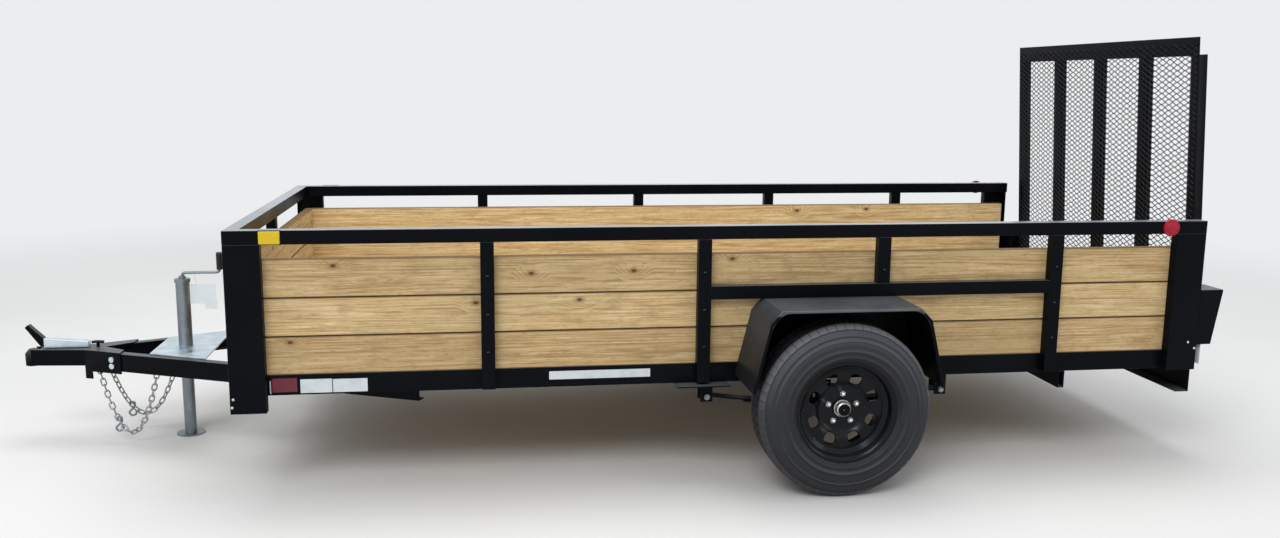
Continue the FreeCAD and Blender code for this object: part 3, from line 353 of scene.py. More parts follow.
def moulded_rubber(name, colour, centre=None):
    """Black rubber with a dry grey bloom, a painted sheen where it faces up, and road grit.

    With a wheel's centre given, the tyre's zones show on both sides of the trailer.
    """
    it = Finish(name, IOR=1.5, Specular_IOR_Level=0.35)
    bloom = it.noise(it.coords, 9, 5, 0.6)
    specks = it.noise(it.coords, 160, 2)
    rise = it.rise(-0.10, 0.50)
    base = it.mixed(it.ranged(bloom, 0.35, 0.75), colour, tinted(colour, 1.6))
    # Painted sheen: paler where the rubber faces up, as the light from above would make it.
    base = it.mixed(it.times(rise, 0.85), base, (0.050, 0.054, 0.064))
    if centre is not None:
        spot = it.parts(it.coords)
        radius = it.vector("LENGTH", it.joined(
            x=it.minus(spot[0], centre.x), z=it.minus(spot[2], centre.z)))
        across = it.math("ABSOLUTE", it.minus(it.math("ABSOLUTE", spot[1]), abs(centre.y)))
        outside = it.math("GREATER_THAN", radius, 0.313)
        wall = it.times(it.ranged(radius, 0.240, 0.290), it.ranged(rise, 0.0, 1.0, 0.06, 0.75))
        rim_guard = it.ranged(radius, 0.195, 0.245, 0.8, 0.0)
        shoulder = it.times(it.ranged(rise, 0.0, 1.0, 0.15, 0.9),
                            it.times(outside, it.ranged(across, 0.040, 0.056)))
        tread = it.times(outside, it.ranged(across, 0.036, 0.046, 0.85, 0.0))
        # A wall band with a painted sheen towards the top, a darker rim guard, a painted highlight
        # on the shoulder's rounded edge, and the fender's shadow painted dark on the tread.
        for share, zone in ((wall, (0.068, 0.073, 0.086)), (rim_guard, (0.0075, 0.008, 0.009)),
                            (shoulder, (0.150, 0.155, 0.165)), (tread, (0.008, 0.008, 0.0095))):
            base = it.mixed(share, base, zone)
    it.feed(Base_Color=it.mixed(it.ranged(specks, 0.55, 0.8, 0.0, 0.25), base, (0.09, 0.08, 0.07)),
            Roughness=it.ranged(bloom, 0.3, 0.7, 0.55, 0.74))
    it.bump(it.noise(it.coords, 700, 2), 0.0002, 0.6)
    return it.material


def plated_steel(name, colour, roughness=0.38, spangle=0.16):
    """Zinc: crystals of slightly different brightness and a cloudy, scuffed surface."""
    it = Finish(name, Metallic=1.0)
    value = it.chance(it.add("ShaderNodeTexVoronoi", {"Vector": it.coords, "Scale": 150.0}))
    cloud = it.noise(it.coords, 16, 4, 0.6)
    shade = it.plus(it.ranged(cloud, 0.3, 0.75, 0.78, 1.02),
                    it.times(it.minus(value, 0.5), spangle))
    it.feed(Base_Color=it.mixed(1.0, colour, it.tint(shade, shade, shade), "MULTIPLY"),
            Roughness=it.plus(it.ranged(cloud, 0.3, 0.7, roughness, roughness + 0.16),
                              it.times(value, 0.08)))
    it.bump(it.noise(it.coords, 260, 2), 0.00015, 0.4)
    return it.material


def polished_steel(name, colour, roughness=0.12):
    """Bright metal with a light haze."""
    it = Finish(name, Metallic=1.0)
    haze = it.noise(it.coords, 70, 3)
    it.feed(Base_Color=it.mixed(it.ranged(haze, 0.35, 0.75), colour, tinted(colour, 0.72)),
            Roughness=it.ranged(haze, 0.3, 0.75, roughness, roughness + 0.14))
    it.bump(haze, 0.0001, 0.2)
    return it.material


def ribbed_lens(name, colour, ribs=260.0):
    """A moulded lens: fine prism ribs under a glossy skin."""
    it = Finish(name, Roughness=0.2, Coat_Weight=0.12, Coat_Roughness=0.06, IOR=1.49,
                Specular_IOR_Level=0.22)
    level, upright = [it.add("ShaderNodeTexWave", {"Vector": it.coords, "Scale": scale},
                             bands_direction=way).outputs["Fac"]
                      for way, scale in (("Z", ribs), ("X", ribs * 0.6))]
    prisms = it.times(level, upright)
    cloud = it.noise(it.coords, 30, 2)
    base = it.mixed(it.ranged(prisms, 0.1, 0.8), tinted(colour, 0.62), tinted(colour, 1.25))
    it.feed(Base_Color=it.mixed(it.ranged(cloud, 0.4, 0.7, 0.0, 0.25), base, tinted(colour, 0.8)))
    it.bump(prisms, 0.0006, 0.5)
    return it.material


def plain_card(name, colour, fade=0.82):
    """Blank white stock, a little yellowed and dusty in patches."""
    it = Finish(name, Roughness=0.5, IOR=1.45, Specular_IOR_Level=0.35)
    stain = it.noise(it.coords, 22, 4, 0.6)
    it.feed(Base_Color=it.mixed(it.ranged(stain, 0.4, 0.8), colour, tinted(colour, fade)))
    it.bump(it.noise(it.coords, 300, 2), 0.0001, 0.4)
    return it.material


MATERIALS = {}


def material(key):
    """The finish with that name, made the first time it is asked for."""
    if key not in MATERIALS:
        colours = finish()
        black, rubber, card = (tuple(c) for c in (colours.black, colours.rubber, colours.card))
        low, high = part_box("fender_left")
        wheel = sum(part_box("tyre_left"), Vector()) / 2
        # What makes each finish, and what it is given: its name, its colour and the rest.
        recipes = {
            "black_coat": (coated_steel, "black_coat", black),
            "black_gloss": (coated_steel, "black_gloss", tinted(black, 1.1), 0.18, 0.12, 0.16),
            # The fender's copy paints a highlight along its folded outer edge.
            "black_fender": (coated_steel, "black_fender", black, 0.3, 0.85, 0.055, 1.05,
                             (-low.y, high.z)),
            # The rails' copy is paler on top: a painted sky reflection on the top rails.
            "black_rail": (coated_steel, "black_rail", black, 0.27, 1.0, 0.055, 3.2),
            # The lip's copy is paler on top: a painted highlight along the fender's rolled edge.
            "black_lip": (coated_steel, "black_lip", black, 0.25, 1.0, 0.055, 3.0),
            "black_chassis": (coated_steel, "black_chassis", tinted(black, 1.6), 0.45, 0.9),
            "pine": (sawn_pine,),
            "rubber": (moulded_rubber, "tyre_rubber", rubber, wheel),
            "grip": (moulded_rubber, "grip_rubber", tinted(rubber, 0.6)),
            "zinc": (plated_steel, "zinc_plate", tuple(colours.zinc)),
            "bright_zinc": (plated_steel, "bright_zinc", (0.72, 0.82, 0.90), 0.28, 0.05),
            "chain": (plated_steel, "chain_zinc", (0.42, 0.43, 0.43), 0.34, 0.10),
            "chrome": (polished_steel, "chrome", (0.92, 0.92, 0.90), 0.24),
            "hub_bright": (polished_steel, "hub_bright", (0.70, 0.69, 0.66), 0.30),
            "red": (ribbed_lens, "red_lens", tuple(colours.red)),
            "dark_red": (ribbed_lens, "dark_red_lens", (0.185, 0.030, 0.052), 420.0),
            "amber": (ribbed_lens, "amber_lens", tuple(colours.amber)),
            "card": (plain_card, "white_card", card),
            # The tag's copy of the card is brighter: painted light on a tag that the lamps light
            # weakly.
            "tag": (plain_card, "tag_card", tinted(card, 1.3), 0.95),
            "plate": (plain_card, "white_plate", tinted(card, 1.25), 0.9),
        }
        maker, *given = recipes[key]
        MATERIALS[key] = maker(*given)
    return MATERIALS[key]


# Mesh code that the pieces share


def new_object(name, mesh):
    """An object in the scene, at the origin."""
    thing = bpy.data.objects.new(name, mesh)
    bpy.context.scene.collection.objects.link(thing)
    return thing


def creased(bm, angle):
    """Smooth shading that breaks over edges sharper than the angle."""
    limit = math.radians(angle)
    for face in bm.faces:
        face.smooth = True
    for edge in bm.edges:
        edge.smooth = edge.is_manifold and edge.calc_face_angle(0.0) < limit


def from_bmesh(name, bm, angle=35):
    """An object of that mesh, smooth but for edges sharper than the angle."""
    creased(bm, angle)
    mesh = bpy.data.meshes.new(name)
    bm.to_mesh(mesh)
    bm.free()
    return new_object(name, mesh)


def made_plain(thing, angle=None):
    """The object's modifiers worked into a plain mesh, on a fresh object of the same name."""
    graph = bpy.context.evaluated_depsgraph_get()
    mesh = bpy.data.meshes.new_from_object(thing.evaluated_get(graph))
    name = thing.name
    bpy.data.objects.remove(thing)
    if angle is not None:
        bm = bmesh.new()
        bm.from_mesh(mesh)
        creased(bm, angle)
        bm.to_mesh(mesh)
        bm.free()
    return new_object(name, mesh)


def bevelled(thing, width, segments=2, angle=32):
    """Rounds the piece's edges and keeps its flat faces flat in the light."""
    edge = thing.modifiers.new("edges", "BEVEL")
    edge.width = width
    edge.segments = segments
    edge.limit_method = "ANGLE"
    edge.angle_limit = math.radians(angle)
    edge.harden_normals = True
    edge.miter_outer = "MITER_ARC"
    return made_plain(thing)


def placed(thing, finish_name, body, slot, *nodes):
    """Gives a finished piece its material and its body, and hides the CAD nodes that it stands
    for.
    """
    if finish_name:
        thing.data.materials.clear()
        thing.data.materials.append(material(finish_name))
    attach(thing, body)
    if nodes:
        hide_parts(*nodes)
    return thing


def cad_mesh(*nodes, whole=True):
    """CAD nodes as one clean mesh, their doubles merged and their flat faces made whole."""
    bm = bmesh.new()
    for node in nodes:
        bm.from_mesh(NODES[node].data)
    bmesh.ops.remove_doubles(bm, verts=bm.verts, dist=SAME_SPOT)
    if whole:
        bmesh.ops.dissolve_limit(bm, angle_limit=math.radians(0.5), verts=bm.verts,
                                 edges=bm.edges)
    return bm


def islands(bm):
    """The separate solids of a mesh, each a list of its vertices."""
    bm.verts.index_update()
    left = set(bm.verts)
    groups = []
    while left:
        found, queue = [], [left.pop()]
        while queue:
            vert = queue.pop()
            found.append(vert)
            for edge in vert.link_edges:
                other = edge.other_vert(vert)
                if other in left:
                    left.remove(other)
                    queue.append(other)
        groups.append(found)
    return sorted(groups, key=lambda group: tuple(round(c, 4) for c in extent(group)[0]))


def extent(verts):
    """The lowest and highest corner of the box round some vertices."""
    low = Vector(min(v.co[i] for v in verts) for i in range(3))
    high = Vector(max(v.co[i] for v in verts) for i in range(3))
    return low, high


def solid_boxes(node):
    """The lowest and highest corner of each solid of a CAD node."""
    bm = cad_mesh(node, whole=False)
    boxes = [extent(group) for group in islands(bm)]
    bm.free()
    return boxes


def footing(low, high):
    """Which side of the trailer a box is on, and the Y of the face that it stands on."""
    return (1, low.y) if low.y > 0 else (-1, high.y)


def facing(side):
    """Turns what is made for +Y to that side of the trailer."""
    return Matrix.Identity(4) if side > 0 else HALF_TURN


def dressed(node, finish_name, slot, width=None, body="chassis", segments=2, whole=True):
    """A CAD node's own shape with softened edges."""
    thing = from_bmesh("dressed_" + node, cad_mesh(node, whole=whole))
    thing = bevelled(thing, detail().steel_edge if width is None else width, segments)
    return placed(thing, finish_name, body, slot, node)


def smoothed(node, finish_name, slot, body="chassis", angle=30):
    """A round CAD node's own shape, shaded smooth."""
    thing = from_bmesh("dressed_" + node, cad_mesh(node), angle)
    return placed(thing, finish_name, body, slot, node)


def add_box(bm, low, high, matrix=None):
    """A closed box between two corners, turned by a matrix if one is given."""
    made = bmesh.ops.create_cube(bm, size=1.0)["verts"]
    low, high = Vector(low), Vector(high)
    size, middle = high - low, (high + low) / 2
    for vert in made:
        vert.co = Vector(a * b for a, b in zip(vert.co, size)) + middle
        if matrix:
            vert.co = matrix @ vert.co
    return made


def add_prism(bm, outline, near, far):
    """A closed outline in XZ drawn out along Y."""
    rows = [[bm.verts.new((x, y, z)) for x, z in outline] for y in (near, far)]
    faces = [bm.faces.new(rows[0]), bm.faces.new(rows[1][::-1])]
    for n in range(len(outline)):
        after = (n + 1) % len(outline)
        faces.append(bm.faces.new((rows[0][after], rows[0][n], rows[1][n], rows[1][after])))
    bmesh.ops.recalc_face_normals(bm, faces=faces)
    return faces


def both_sides(outer, inner):
    """A closed (radius, along) outline from the +Y halves of its outer and its inner line."""
    return ([(r, -y) for r, y in outer] + [(r, y) for r, y in reversed(outer)]
            + [(r, y) for r, y in reversed(inner)] + [(r, -y) for r, y in inner])


def lathe(bm, profile, segments, closed=True, matrix=None):
    """Turns (radius, along) corners about the Y axis."""
    rings = []
    for step in range(segments):
        turn = 2 * math.pi * step / segments
        ring = []
        for radius, along in profile:
            spot = Vector((radius * math.sin(turn), along, radius * math.cos(turn)))
            ring.append(bm.verts.new(matrix @ spot if matrix else spot))
        rings.append(ring)
    count = len(profile)
    faces = []
    for step in range(segments):
        here, there = rings[step], rings[(step + 1) % segments]
        for index in range(count if closed else count - 1):
            after = (index + 1) % count
            faces.append(bm.faces.new((here[index], here[after], there[after], there[index])))
    bmesh.ops.recalc_face_normals(bm, faces=faces)
    return faces


def sweep(bm, points, radius, sides=12, closed=False):
    """A round bar along a path, its rings carried on without twist."""
    path = [Vector(p) for p in points]
    count = len(path)
    rings, normal = [], None
    for index, spot in enumerate(path):
        before = path[(index - 1) % count] if closed or index else spot
        after = path[(index + 1) % count] if closed or index < count - 1 else spot
        along = (after - before).normalized()
        if normal is None:
            normal = along.orthogonal().normalized()
        normal = (normal - along * normal.dot(along)).normalized()
        side = along.cross(normal)
        rings.append([bm.verts.new(spot + radius * (
            normal * math.cos(2 * math.pi * n / sides) + side * math.sin(2 * math.pi * n / sides)))
            for n in range(sides)])
    faces = []
    for index in range(count if closed else count - 1):
        here, there = rings[index], rings[(index + 1) % count]
        for n in range(sides):
            after = (n + 1) % sides
            faces.append(bm.faces.new((here[n], here[after], there[after], there[n])))
    if not closed:
        faces += [bm.faces.new(rings[0][::-1]), bm.faces.new(rings[-1])]
    bmesh.ops.recalc_face_normals(bm, faces=faces)
    return faces


def rounded_path(corners, radius, steps=6):
    """A path through corners, each rounded to about that radius."""
    path = [Vector(c) for c in corners]
    points = [path[0]]
    for before, corner, after in zip(path, path[1:], path[2:]):
        start = corner + (before - corner).normalized() * radius
        end = corner + (after - corner).normalized() * radius
        for step in range(steps + 1):
            share = step / steps
            points.append(start.lerp(corner, share).lerp(corner.lerp(end, share), share))
    return points + [path[-1]]


# Geometry Nodes trees


def new_tree(name, sockets):
    """A tree that takes and gives a geometry, with named inputs and a material."""
    tree = bpy.data.node_groups.new(name, "GeometryNodeTree")
    tree.interface.new_socket("Geometry", in_out="INPUT", socket_type="NodeSocketGeometry")
    for label, kind, default in sockets:
        made = tree.interface.new_socket(label, in_out="INPUT", socket_type="NodeSocket" + kind)
        if default is not None:
            made.default_value = default
    tree.interface.new_socket("Material", in_out="INPUT", socket_type="NodeSocketMaterial")
    tree.interface.new_socket("Geometry", in_out="OUTPUT", socket_type="NodeSocketGeometry")
    graph = Graph(tree)
    given = graph.add("NodeGroupInput").outputs
    return graph, given


def close_tree(graph, given, geometry):
    """Ends a tree in Realize Instances and Set Material."""
    real = graph.made("GeometryNodeRealizeInstances", {0: geometry})
    coloured = graph.made("GeometryNodeSetMaterial", {0: real, 2: given["Material"]})
    graph.add("NodeGroupOutput", {0: coloured})
    return graph.tree


def tree_round_axle():
    """The incoming piece repeated round the Y axis."""
    graph, given = new_tree("round_axle", (("Count", "Int", 8), ("Phase", "Float", 0.0)))
    spots = graph.made("GeometryNodeMeshLine", {"Count": given["Count"], "Offset": (0, 0, 0)},
                       mode="OFFSET")
    step = graph.math("DIVIDE", 2 * math.pi, given["Count"])
    turn = graph.plus(graph.times(graph.made("GeometryNodeInputIndex"), step), given["Phase"])
    copies = graph.made("GeometryNodeInstanceOnPoints", {
        "Points": spots, "Instance": given["Geometry"], "Rotation": graph.joined(y=turn)})
    return close_tree(graph, given, copies)


def tree_grid():
    """The incoming piece repeated over an upright grid in the YZ plane."""
    graph, given = new_tree("upright_grid", (
        ("Width", "Float", 1.0), ("Height", "Float", 1.0), ("Columns", "Int", 4),
        ("Rows", "Int", 4)))
    grid = graph.made("GeometryNodeMeshGrid", {
        "Size X": given["Width"], "Size Y": given["Height"], "Vertices X": given["Columns"],
        "Vertices Y": given["Rows"]})
    place = graph.parts(graph.made("GeometryNodeInputPosition"))
    spots = graph.made("GeometryNodeSetPosition", {
        0: graph.made("GeometryNodeMeshToPoints", {0: grid}),
        2: graph.joined(y=place[0], z=place[1])})
    copies = graph.made("GeometryNodeInstanceOnPoints", {
        "Points": spots, "Instance": given["Geometry"]})
    return close_tree(graph, given, copies)


def tree_heads():
    """A low dome on a washer at every point, turned to the point's 'facing'."""
    graph, given = new_tree("bolt_heads", (
        ("Radius", "Float", 0.009), ("Height", "Float", 0.005), ("Sides", "Int", 10)))
    radius, height, sides = given["Radius"], given["Height"], given["Sides"]
    half = graph.times(height, 0.5)
    washer = graph.made("GeometryNodeMeshCylinder", {
        "Vertices": sides, "Radius": graph.times(radius, 1.25),
        "Depth": graph.times(height, 0.36)})
    dome = graph.made("GeometryNodeMeshCone", {
        "Vertices": sides, "Side Segments": 1, "Radius Top": graph.times(radius, 0.55),
        "Radius Bottom": radius, "Depth": height})
    head = graph.add("GeometryNodeJoinGeometry")
    for part, lift in ((washer, graph.times(half, 0.3)), (dome, half)):
        lifted = graph.made("GeometryNodeTransform", {
            0: part, "Translation": graph.joined(z=lift)})
        graph.tree.links.new(lifted, head.inputs[0])
    outwards = graph.made("GeometryNodeInputNamedAttribute", {"Name": "facing"},
                          data_type="FLOAT_VECTOR")
    turn = graph.made("FunctionNodeAlignRotationToVector", {"Vector": outwards}, axis="Z")
    copies = graph.made("GeometryNodeInstanceOnPoints", {
        "Points": graph.made("GeometryNodeMeshToPoints", {0: given["Geometry"]}),
        "Instance": head.outputs[0], "Rotation": turn})
    return close_tree(graph, given, copies)


def tree_chain():
    """Oval links along a route, every second one turned a quarter."""
    graph, given = new_tree("chain_links", (
        ("Links", "Int", 19), ("Wire", "Float", 0.006), ("Length", "Float", 0.036),
        ("Width", "Float", 0.022)))
    wire = given["Wire"]
    wide, tall = [graph.minus(given[size], wire) for size in ("Width", "Length")]
    oval = graph.made("GeometryNodeCurvePrimitiveQuadrilateral", {"Width": wide, "Height": tall})
    oval = graph.made("GeometryNodeFilletCurve", {
        0: oval, "Count": 4, "Radius": graph.times(wide, 0.49), "Limit Radius": True},
        mode="POLY")
    section = graph.made("GeometryNodeCurvePrimitiveCircle", {
        "Resolution": 7, "Radius": graph.times(wire, 0.5)})
    link = graph.made("GeometryNodeCurveToMesh", {0: oval, 1: section})
    # The link lies in XY with its length on Y, and the route runs along Z.
    link = graph.made("GeometryNodeTransform", {0: link, "Rotation": (math.pi / 2, 0, 0)})
    spots = graph.add("GeometryNodeCurveToPoints", {
        0: given["Geometry"], "Count": given["Links"]}, mode="COUNT").outputs
    copies = graph.made("GeometryNodeInstanceOnPoints", {
        "Points": spots["Points"], "Instance": link, "Rotation": spots["Rotation"]})
    second = graph.math("MODULO", graph.made("GeometryNodeInputIndex"), 2.0)
    turn = graph.plus(graph.times(second, math.pi / 2), math.pi / 4)
    copies = graph.made("GeometryNodeRotateInstances", {
        0: copies, "Rotation": graph.joined(z=turn)})
    return close_tree(graph, given, copies)


TREES = {}


def grown(thing, maker, finish_name, angle=35, name=None, **values):
    """The object as a Geometry Nodes tree makes it, worked into a plain mesh."""
    thing.name = name or thing.name
    if maker not in TREES:
        TREES[maker] = maker()
    tree = TREES[maker]
    modifier = thing.modifiers.new(tree.name, "NODES")
    modifier.node_group = tree
    names = {item.name: item.identifier for item in tree.interface.items_tree
             if item.item_type == "SOCKET" and item.in_out == "INPUT"}
    for label, value in values.items():
        modifier[names[label]] = value
    modifier[names["Material"]] = material(finish_name)
    return made_plain(thing, angle)


# Pieces


def board_grain(bm, along, seed, tones):
    """Gives each board its own pith, so that rings, knots and tone differ from board to board.

    'grain' holds metres along the board, across it, and in depth from the pith, and 'brink'
    runs from -1 to 1 across the board.
    """
    grain = bm.verts.layers.float_vector.new("grain")
    tone = bm.verts.layers.float.new("tone")
    brink = bm.verts.layers.float.new("brink")
    draw = random.Random(seed)
    for number, group in enumerate(islands(bm)):
        low, high = extent(group)
        size = high - low
        thin = min(range(3), key=lambda i: size[i])
        wide = 3 - along - thin
        place, deep, lean, cut = (draw.random() for _ in range(4))
        pith = low[wide] + size[wide] * (0.15 + 0.7 * place)
        depth = 0.035 + 0.07 * deep
        tilt = 0.018 * (lean - 0.5)
        start = 9 * cut + number * 3.1
        for vert in group:
            run = vert.co[along] - low[along]
            vert[grain] = Vector((run + start, vert.co[wide] - pith,
                                  depth + tilt * run + (vert.co[thin] - low[thin])))
            vert[tone] = tones[number % len(tones)]
            vert[brink] = 2 * (vert.co[wide] - low[wide]) / size[wide] - 1


def boards(node, along, seed, tones):
    """A node's boards, with their tones from the lowest or leftmost board on."""
    bm = cad_mesh(node)
    board_grain(bm, along, seed, tones)
    thing = from_bmesh("timber_" + node, bm)
    thing = bevelled(thing, detail().board_edge, 3, 60)
    return placed(thing, "pine", "chassis", "pine_boards", node)


class TRAILER_OT_timber(bpy.types.Operator):
    """Boards of the sides, the front and the deck, each with its own grain"""

    bl_idname = "trailer.timber"
    bl_label = "Timber"
    bl_options = {"REGISTER", "UNDO"}

    def execute(self, context):
        boards("side_boards_left", 0, 3, (0.15, 0.80, 0.40))
        # The right side's high tones and the front's lighten those boards: painted light for their
        # inner faces, which the lamps light less.
        boards("side_boards_right", 0, 11, (1.3, 1.6, 1.85))
        boards("front_boards", 1, 23, (0.9, 1.2, 1.0))
        boards("deck_boards", 0, 31, (0.2, 0.6, 0.4, 0.8, 0.1))
        return {"FINISHED"}


class TRAILER_OT_frame(bpy.types.Operator):
    """Rails, posts, stakes, crossmembers and the sill, with softened edges"""

    bl_idname = "trailer.frame"
    bl_label = "Steel frame"
    bl_options = {"REGISTER", "UNDO"}

    def execute(self, context):
        # The top rails take the copy of the coat whose pale top is a painted sky reflection.
        for node in ("top_rail_left", "top_rail_right", "top_rail_front"):
            dressed(node, "black_rail", "black_steel")
        for node in ("mid_rails", "stakes", "corner_posts", "side_rail_left", "side_rail_right",
                     "rear_sill", "lamp_boxes"):
            dressed(node, "black_coat", "black_steel")
        dressed("crossmembers", "black_chassis", "black_steel")
        return {"FINISHED"}


class TRAILER_OT_bolts(bpy.types.Operator):
    """Heads of the screws in the stakes and at the feet of the posts"""

    bl_idname = "trailer.bolts"
    bl_label = "Screws"
    bl_options = {"REGISTER", "UNDO"}

    def execute(self, context):
        heights = sorted({round((low.z + high.z) / 2, 4)
                          for low, high in solid_boxes("side_boards_left")})
        # The left side's stakes stand for the right side's too. The front's are narrower in X.
        stakes = []
        for low, high in solid_boxes("stakes"):
            if high.x - low.x > 0.045 and high.y < 0:
                stakes += [((low.x + high.x) / 2, s * low.y, z, s) for s in (1, -1)
                           for z in heights if z > low.z + 0.02]
        self.heads("stake_screws", stakes, "black_coat", "black_steel", 0.7)
        low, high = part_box("corner_posts")
        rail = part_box("side_rail_left")[0].z
        # Distance from the post's own end of the box, and height above the rail's foot.
        feet = [(x, s * low.y, rail + z, s) for s in (1, -1)
                for x, z in ((low.x + 0.007, -0.030), (low.x + 0.012, 0.0),
                             (high.x - 0.039, 0.116), (high.x - 0.009, 0.090))]
        self.heads("post_screws", feet, "bright_zinc", "galvanised", 0.42)
        return {"FINISHED"}

    def heads(self, name, spots, finish_name, slot, scale):
        """Screw heads at spots of X, Y, Z and 1 for the left side or -1 for the right."""
        mesh = bpy.data.meshes.new(name)
        mesh.from_pydata([spot[:3] for spot in spots], [], [])
        outwards = mesh.attributes.new("facing", "FLOAT_VECTOR", "POINT")
        for index, spot in enumerate(spots):
            outwards.data[index].vector = (0, -1 if spot[3] > 0 else 1, 0)
        size = detail().bolt_head * scale
        thing = grown(new_object(name, mesh), tree_heads, finish_name, 30,
                      Radius=size, Height=size * 0.45, Sides=12)
        placed(thing, None, "chassis", slot)


class TRAILER_OT_fenders(bpy.types.Operator):
    """Folded fenders with a rolled edge"""

    bl_idname = "trailer.fenders"
    bl_label = "Fenders"
    bl_options = {"REGISTER", "UNDO"}

    def execute(self, context):
        for name, side in SIDES:
            dressed("fender_" + name, "black_fender", "black_steel", 0.0016, segments=3)
            self.rolled_edge("fender_" + name, side)
        return {"FINISHED"}

    def rolled_edge(self, node, side):
        """A wire rolled into the lower edge of the outer lip, following the CAD outline."""
        low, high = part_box(node)
        face = low.y if side < 0 else high.y
        bm = cad_mesh(node)
        outer = [v.co.copy() for v in bm.verts if abs(v.co.y - face) < 0.001]
        bm.free()
        middle = (low.x + high.x) / 2
        foot = Vector((middle, face, low.z))
        # The lip's lower corners are those with another one just outside them.
        lower = [co for co in outer if any(
            (other - co).length < 0.02 and (other - foot).length > (co - foot).length
            for other in outer if other is not co)]
        lower.sort(key=lambda co: math.atan2(co.z - low.z, co.x - middle), reverse=True)
        wire = 0.0034
        path = [Vector((co.x, face - side * 0.004, co.z)) for co in lower]
        path = [p for i, p in enumerate(path) if i == 0 or (p - path[i - 1]).length > 0.01]
        bm = bmesh.new()
        sweep(bm, rounded_path(path, 0.03), wire, 10)
        # The rolled edge's finish paints a highlight along its top.
        placed(from_bmesh("rolled_edge_" + node, bm), "black_lip", "chassis", "black_steel")


class TRAILER_OT_wheels(bpy.types.Operator):
    """Tyres with tread blocks, pressed black wheels with windows, bright nuts and caps"""

    bl_idname = "trailer.wheels"
    bl_label = "Wheels"
    bl_options = {"REGISTER", "UNDO"}

    def execute(self, context):
        for self.side, side in SIDES:
            low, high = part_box("tyre_" + self.side)
            middle = (low + high) / 2
            self.place = Matrix.Translation(middle) @ facing(side)
            self.out = abs(middle.y)
            self.radius = (high.z - low.z) / 2
            self.tyre()
            self.rim()
            self.hub()
        return {"FINISHED"}

    def settle(self, thing, finish_name, slot, *nodes):
        """Puts a piece made about the origin at its wheel."""
        thing.data.transform(self.place)
        return placed(thing, finish_name, "wheel_" + self.side, slot, *nodes)

    def tyre(self):
        """Carcass with a rim guard and rings on the wall, and blocks standing on its tread."""
        crown = self.radius - detail().tread_depth
        # Radius and distance from the middle, from the bead to the edge of the tread.
        outer = [(0.1786, 0.0712), (0.187, 0.0775), (0.197, 0.0865), (0.2045, 0.0925),
                 (0.2075, 0.0968), (0.2115, 0.0984), (0.2155, 0.0968), (0.219, 0.0956),
                 (0.231, 0.0994), (0.233, 0.1012), (0.236, 0.1013), (0.2375, 0.0998),
                 (0.250, 0.1004), (0.264, 0.0992), (0.2700, 0.0978), (0.2720, 0.0998),
                 (0.2765, 0.0994), (0.2785, 0.0968), (0.2900, 0.0935), (0.2925, 0.0942),
                 (0.2955, 0.0930), (0.2975, 0.0902), (0.3060, 0.0848), (0.3130, 0.0775),
                 (crown - 0.002, 0.0640), (crown, 0.0500)]
        inner = [(0.302, 0.060), (0.270, 0.086), (0.215, 0.086), (0.1786, 0.060)]
        bm = bmesh.new()
        lathe(bm, both_sides(outer, inner), 120)
        carcass = from_bmesh("tyre_%s_carcass" % self.side, bm, 50)
        self.settle(carcass, "rubber", "tyre", "tyre_" + self.side)
        for part, count, name in ((self.tread_pitch, detail().tread_pitches, "tread"),
                                  (self.wall_rib, 120, "wall_ribs")):
            thing = grown(part(), tree_round_axle, "rubber", 40,
                          "tyre_%s_%s" % (self.side, name), Count=count, Phase=0.0)
            self.settle(thing, None, "tyre")

    def tread_pitch(self):
        """One repeat of the tread: three ribs of slanted blocks and a block on each shoulder."""
        pitch = 2 * math.pi / detail().tread_pitches
        deep = detail().tread_depth + 0.003
        top = self.radius - 0.0002
        bm = bmesh.new()
        # Each rib's two edges, its slant and the gap between its blocks, in pitches.
        for low, high, slant, gap in ((-0.0135, 0.0135, 0.10, 0.05),
                                      (-0.0375, -0.0185, -0.2, 0.11),
                                      (0.0185, 0.0375, -0.2, 0.11)):
            self.block(bm, [(low, top), (high, top)], deep, pitch, slant, gap)
        for side in (-1, 1):
            line = [(0.0425, top), (0.0600, top - 0.0012), (0.0735, top - 0.0082),
                    (0.0800, top - 0.0150)]
            line = [(side * y, r) for y, r in line]
            if side < 0:
                line.reverse()
            self.block(bm, line, 0.005, pitch, 0.0, 0.06)
        return from_bmesh("tread_pitch", bm, 40)

    def block(self, bm, line, deep, pitch, slant, gap):
        """A block over a line of (across, radius), as wide as the pitch less its gap."""
        full_rib = 0.027
        rows = []
        for edge in (-0.5 + gap / 2, 0.5 - gap / 2):
            for lift in (0.0, -deep):
                row = []
                for across, radius in line:
                    turn = pitch * (edge + slant * (across - line[0][0]) / full_rib)
                    reach = radius + lift
                    row.append(bm.verts.new((reach * math.sin(turn), across,
                                             reach * math.cos(turn))))
                rows.append(row)
        top_a, low_a, top_b, low_b = rows
        faces = []
        for n in range(len(line) - 1):
            faces.append(bm.faces.new((top_a[n], top_b[n], top_b[n + 1], top_a[n + 1])))
            faces.append(bm.faces.new((low_a[n], top_a[n], top_a[n + 1], low_a[n + 1])))
            faces.append(bm.faces.new((low_b[n + 1], top_b[n + 1], top_b[n], low_b[n])))
            faces.append(bm.faces.new((low_a[n + 1], low_b[n + 1], low_b[n], low_a[n])))
        for n in (0, -1):
            faces.append(bm.faces.new((low_a[n], low_b[n], top_b[n], top_a[n])))
        bmesh.ops.recalc_face_normals(bm, faces=faces)

    def wall_rib(self):
        """A fine radial rib of the band below the shoulder, on both walls."""
        bm = bmesh.new()
        for side in (-1, 1):
            low, high = sorted((side * 0.0900, side * 0.0956))
            add_box(bm, (-0.0014, low, 0.2810), (0.0014, high, 0.2870))
        return from_bmesh("wall_rib", bm, 30)

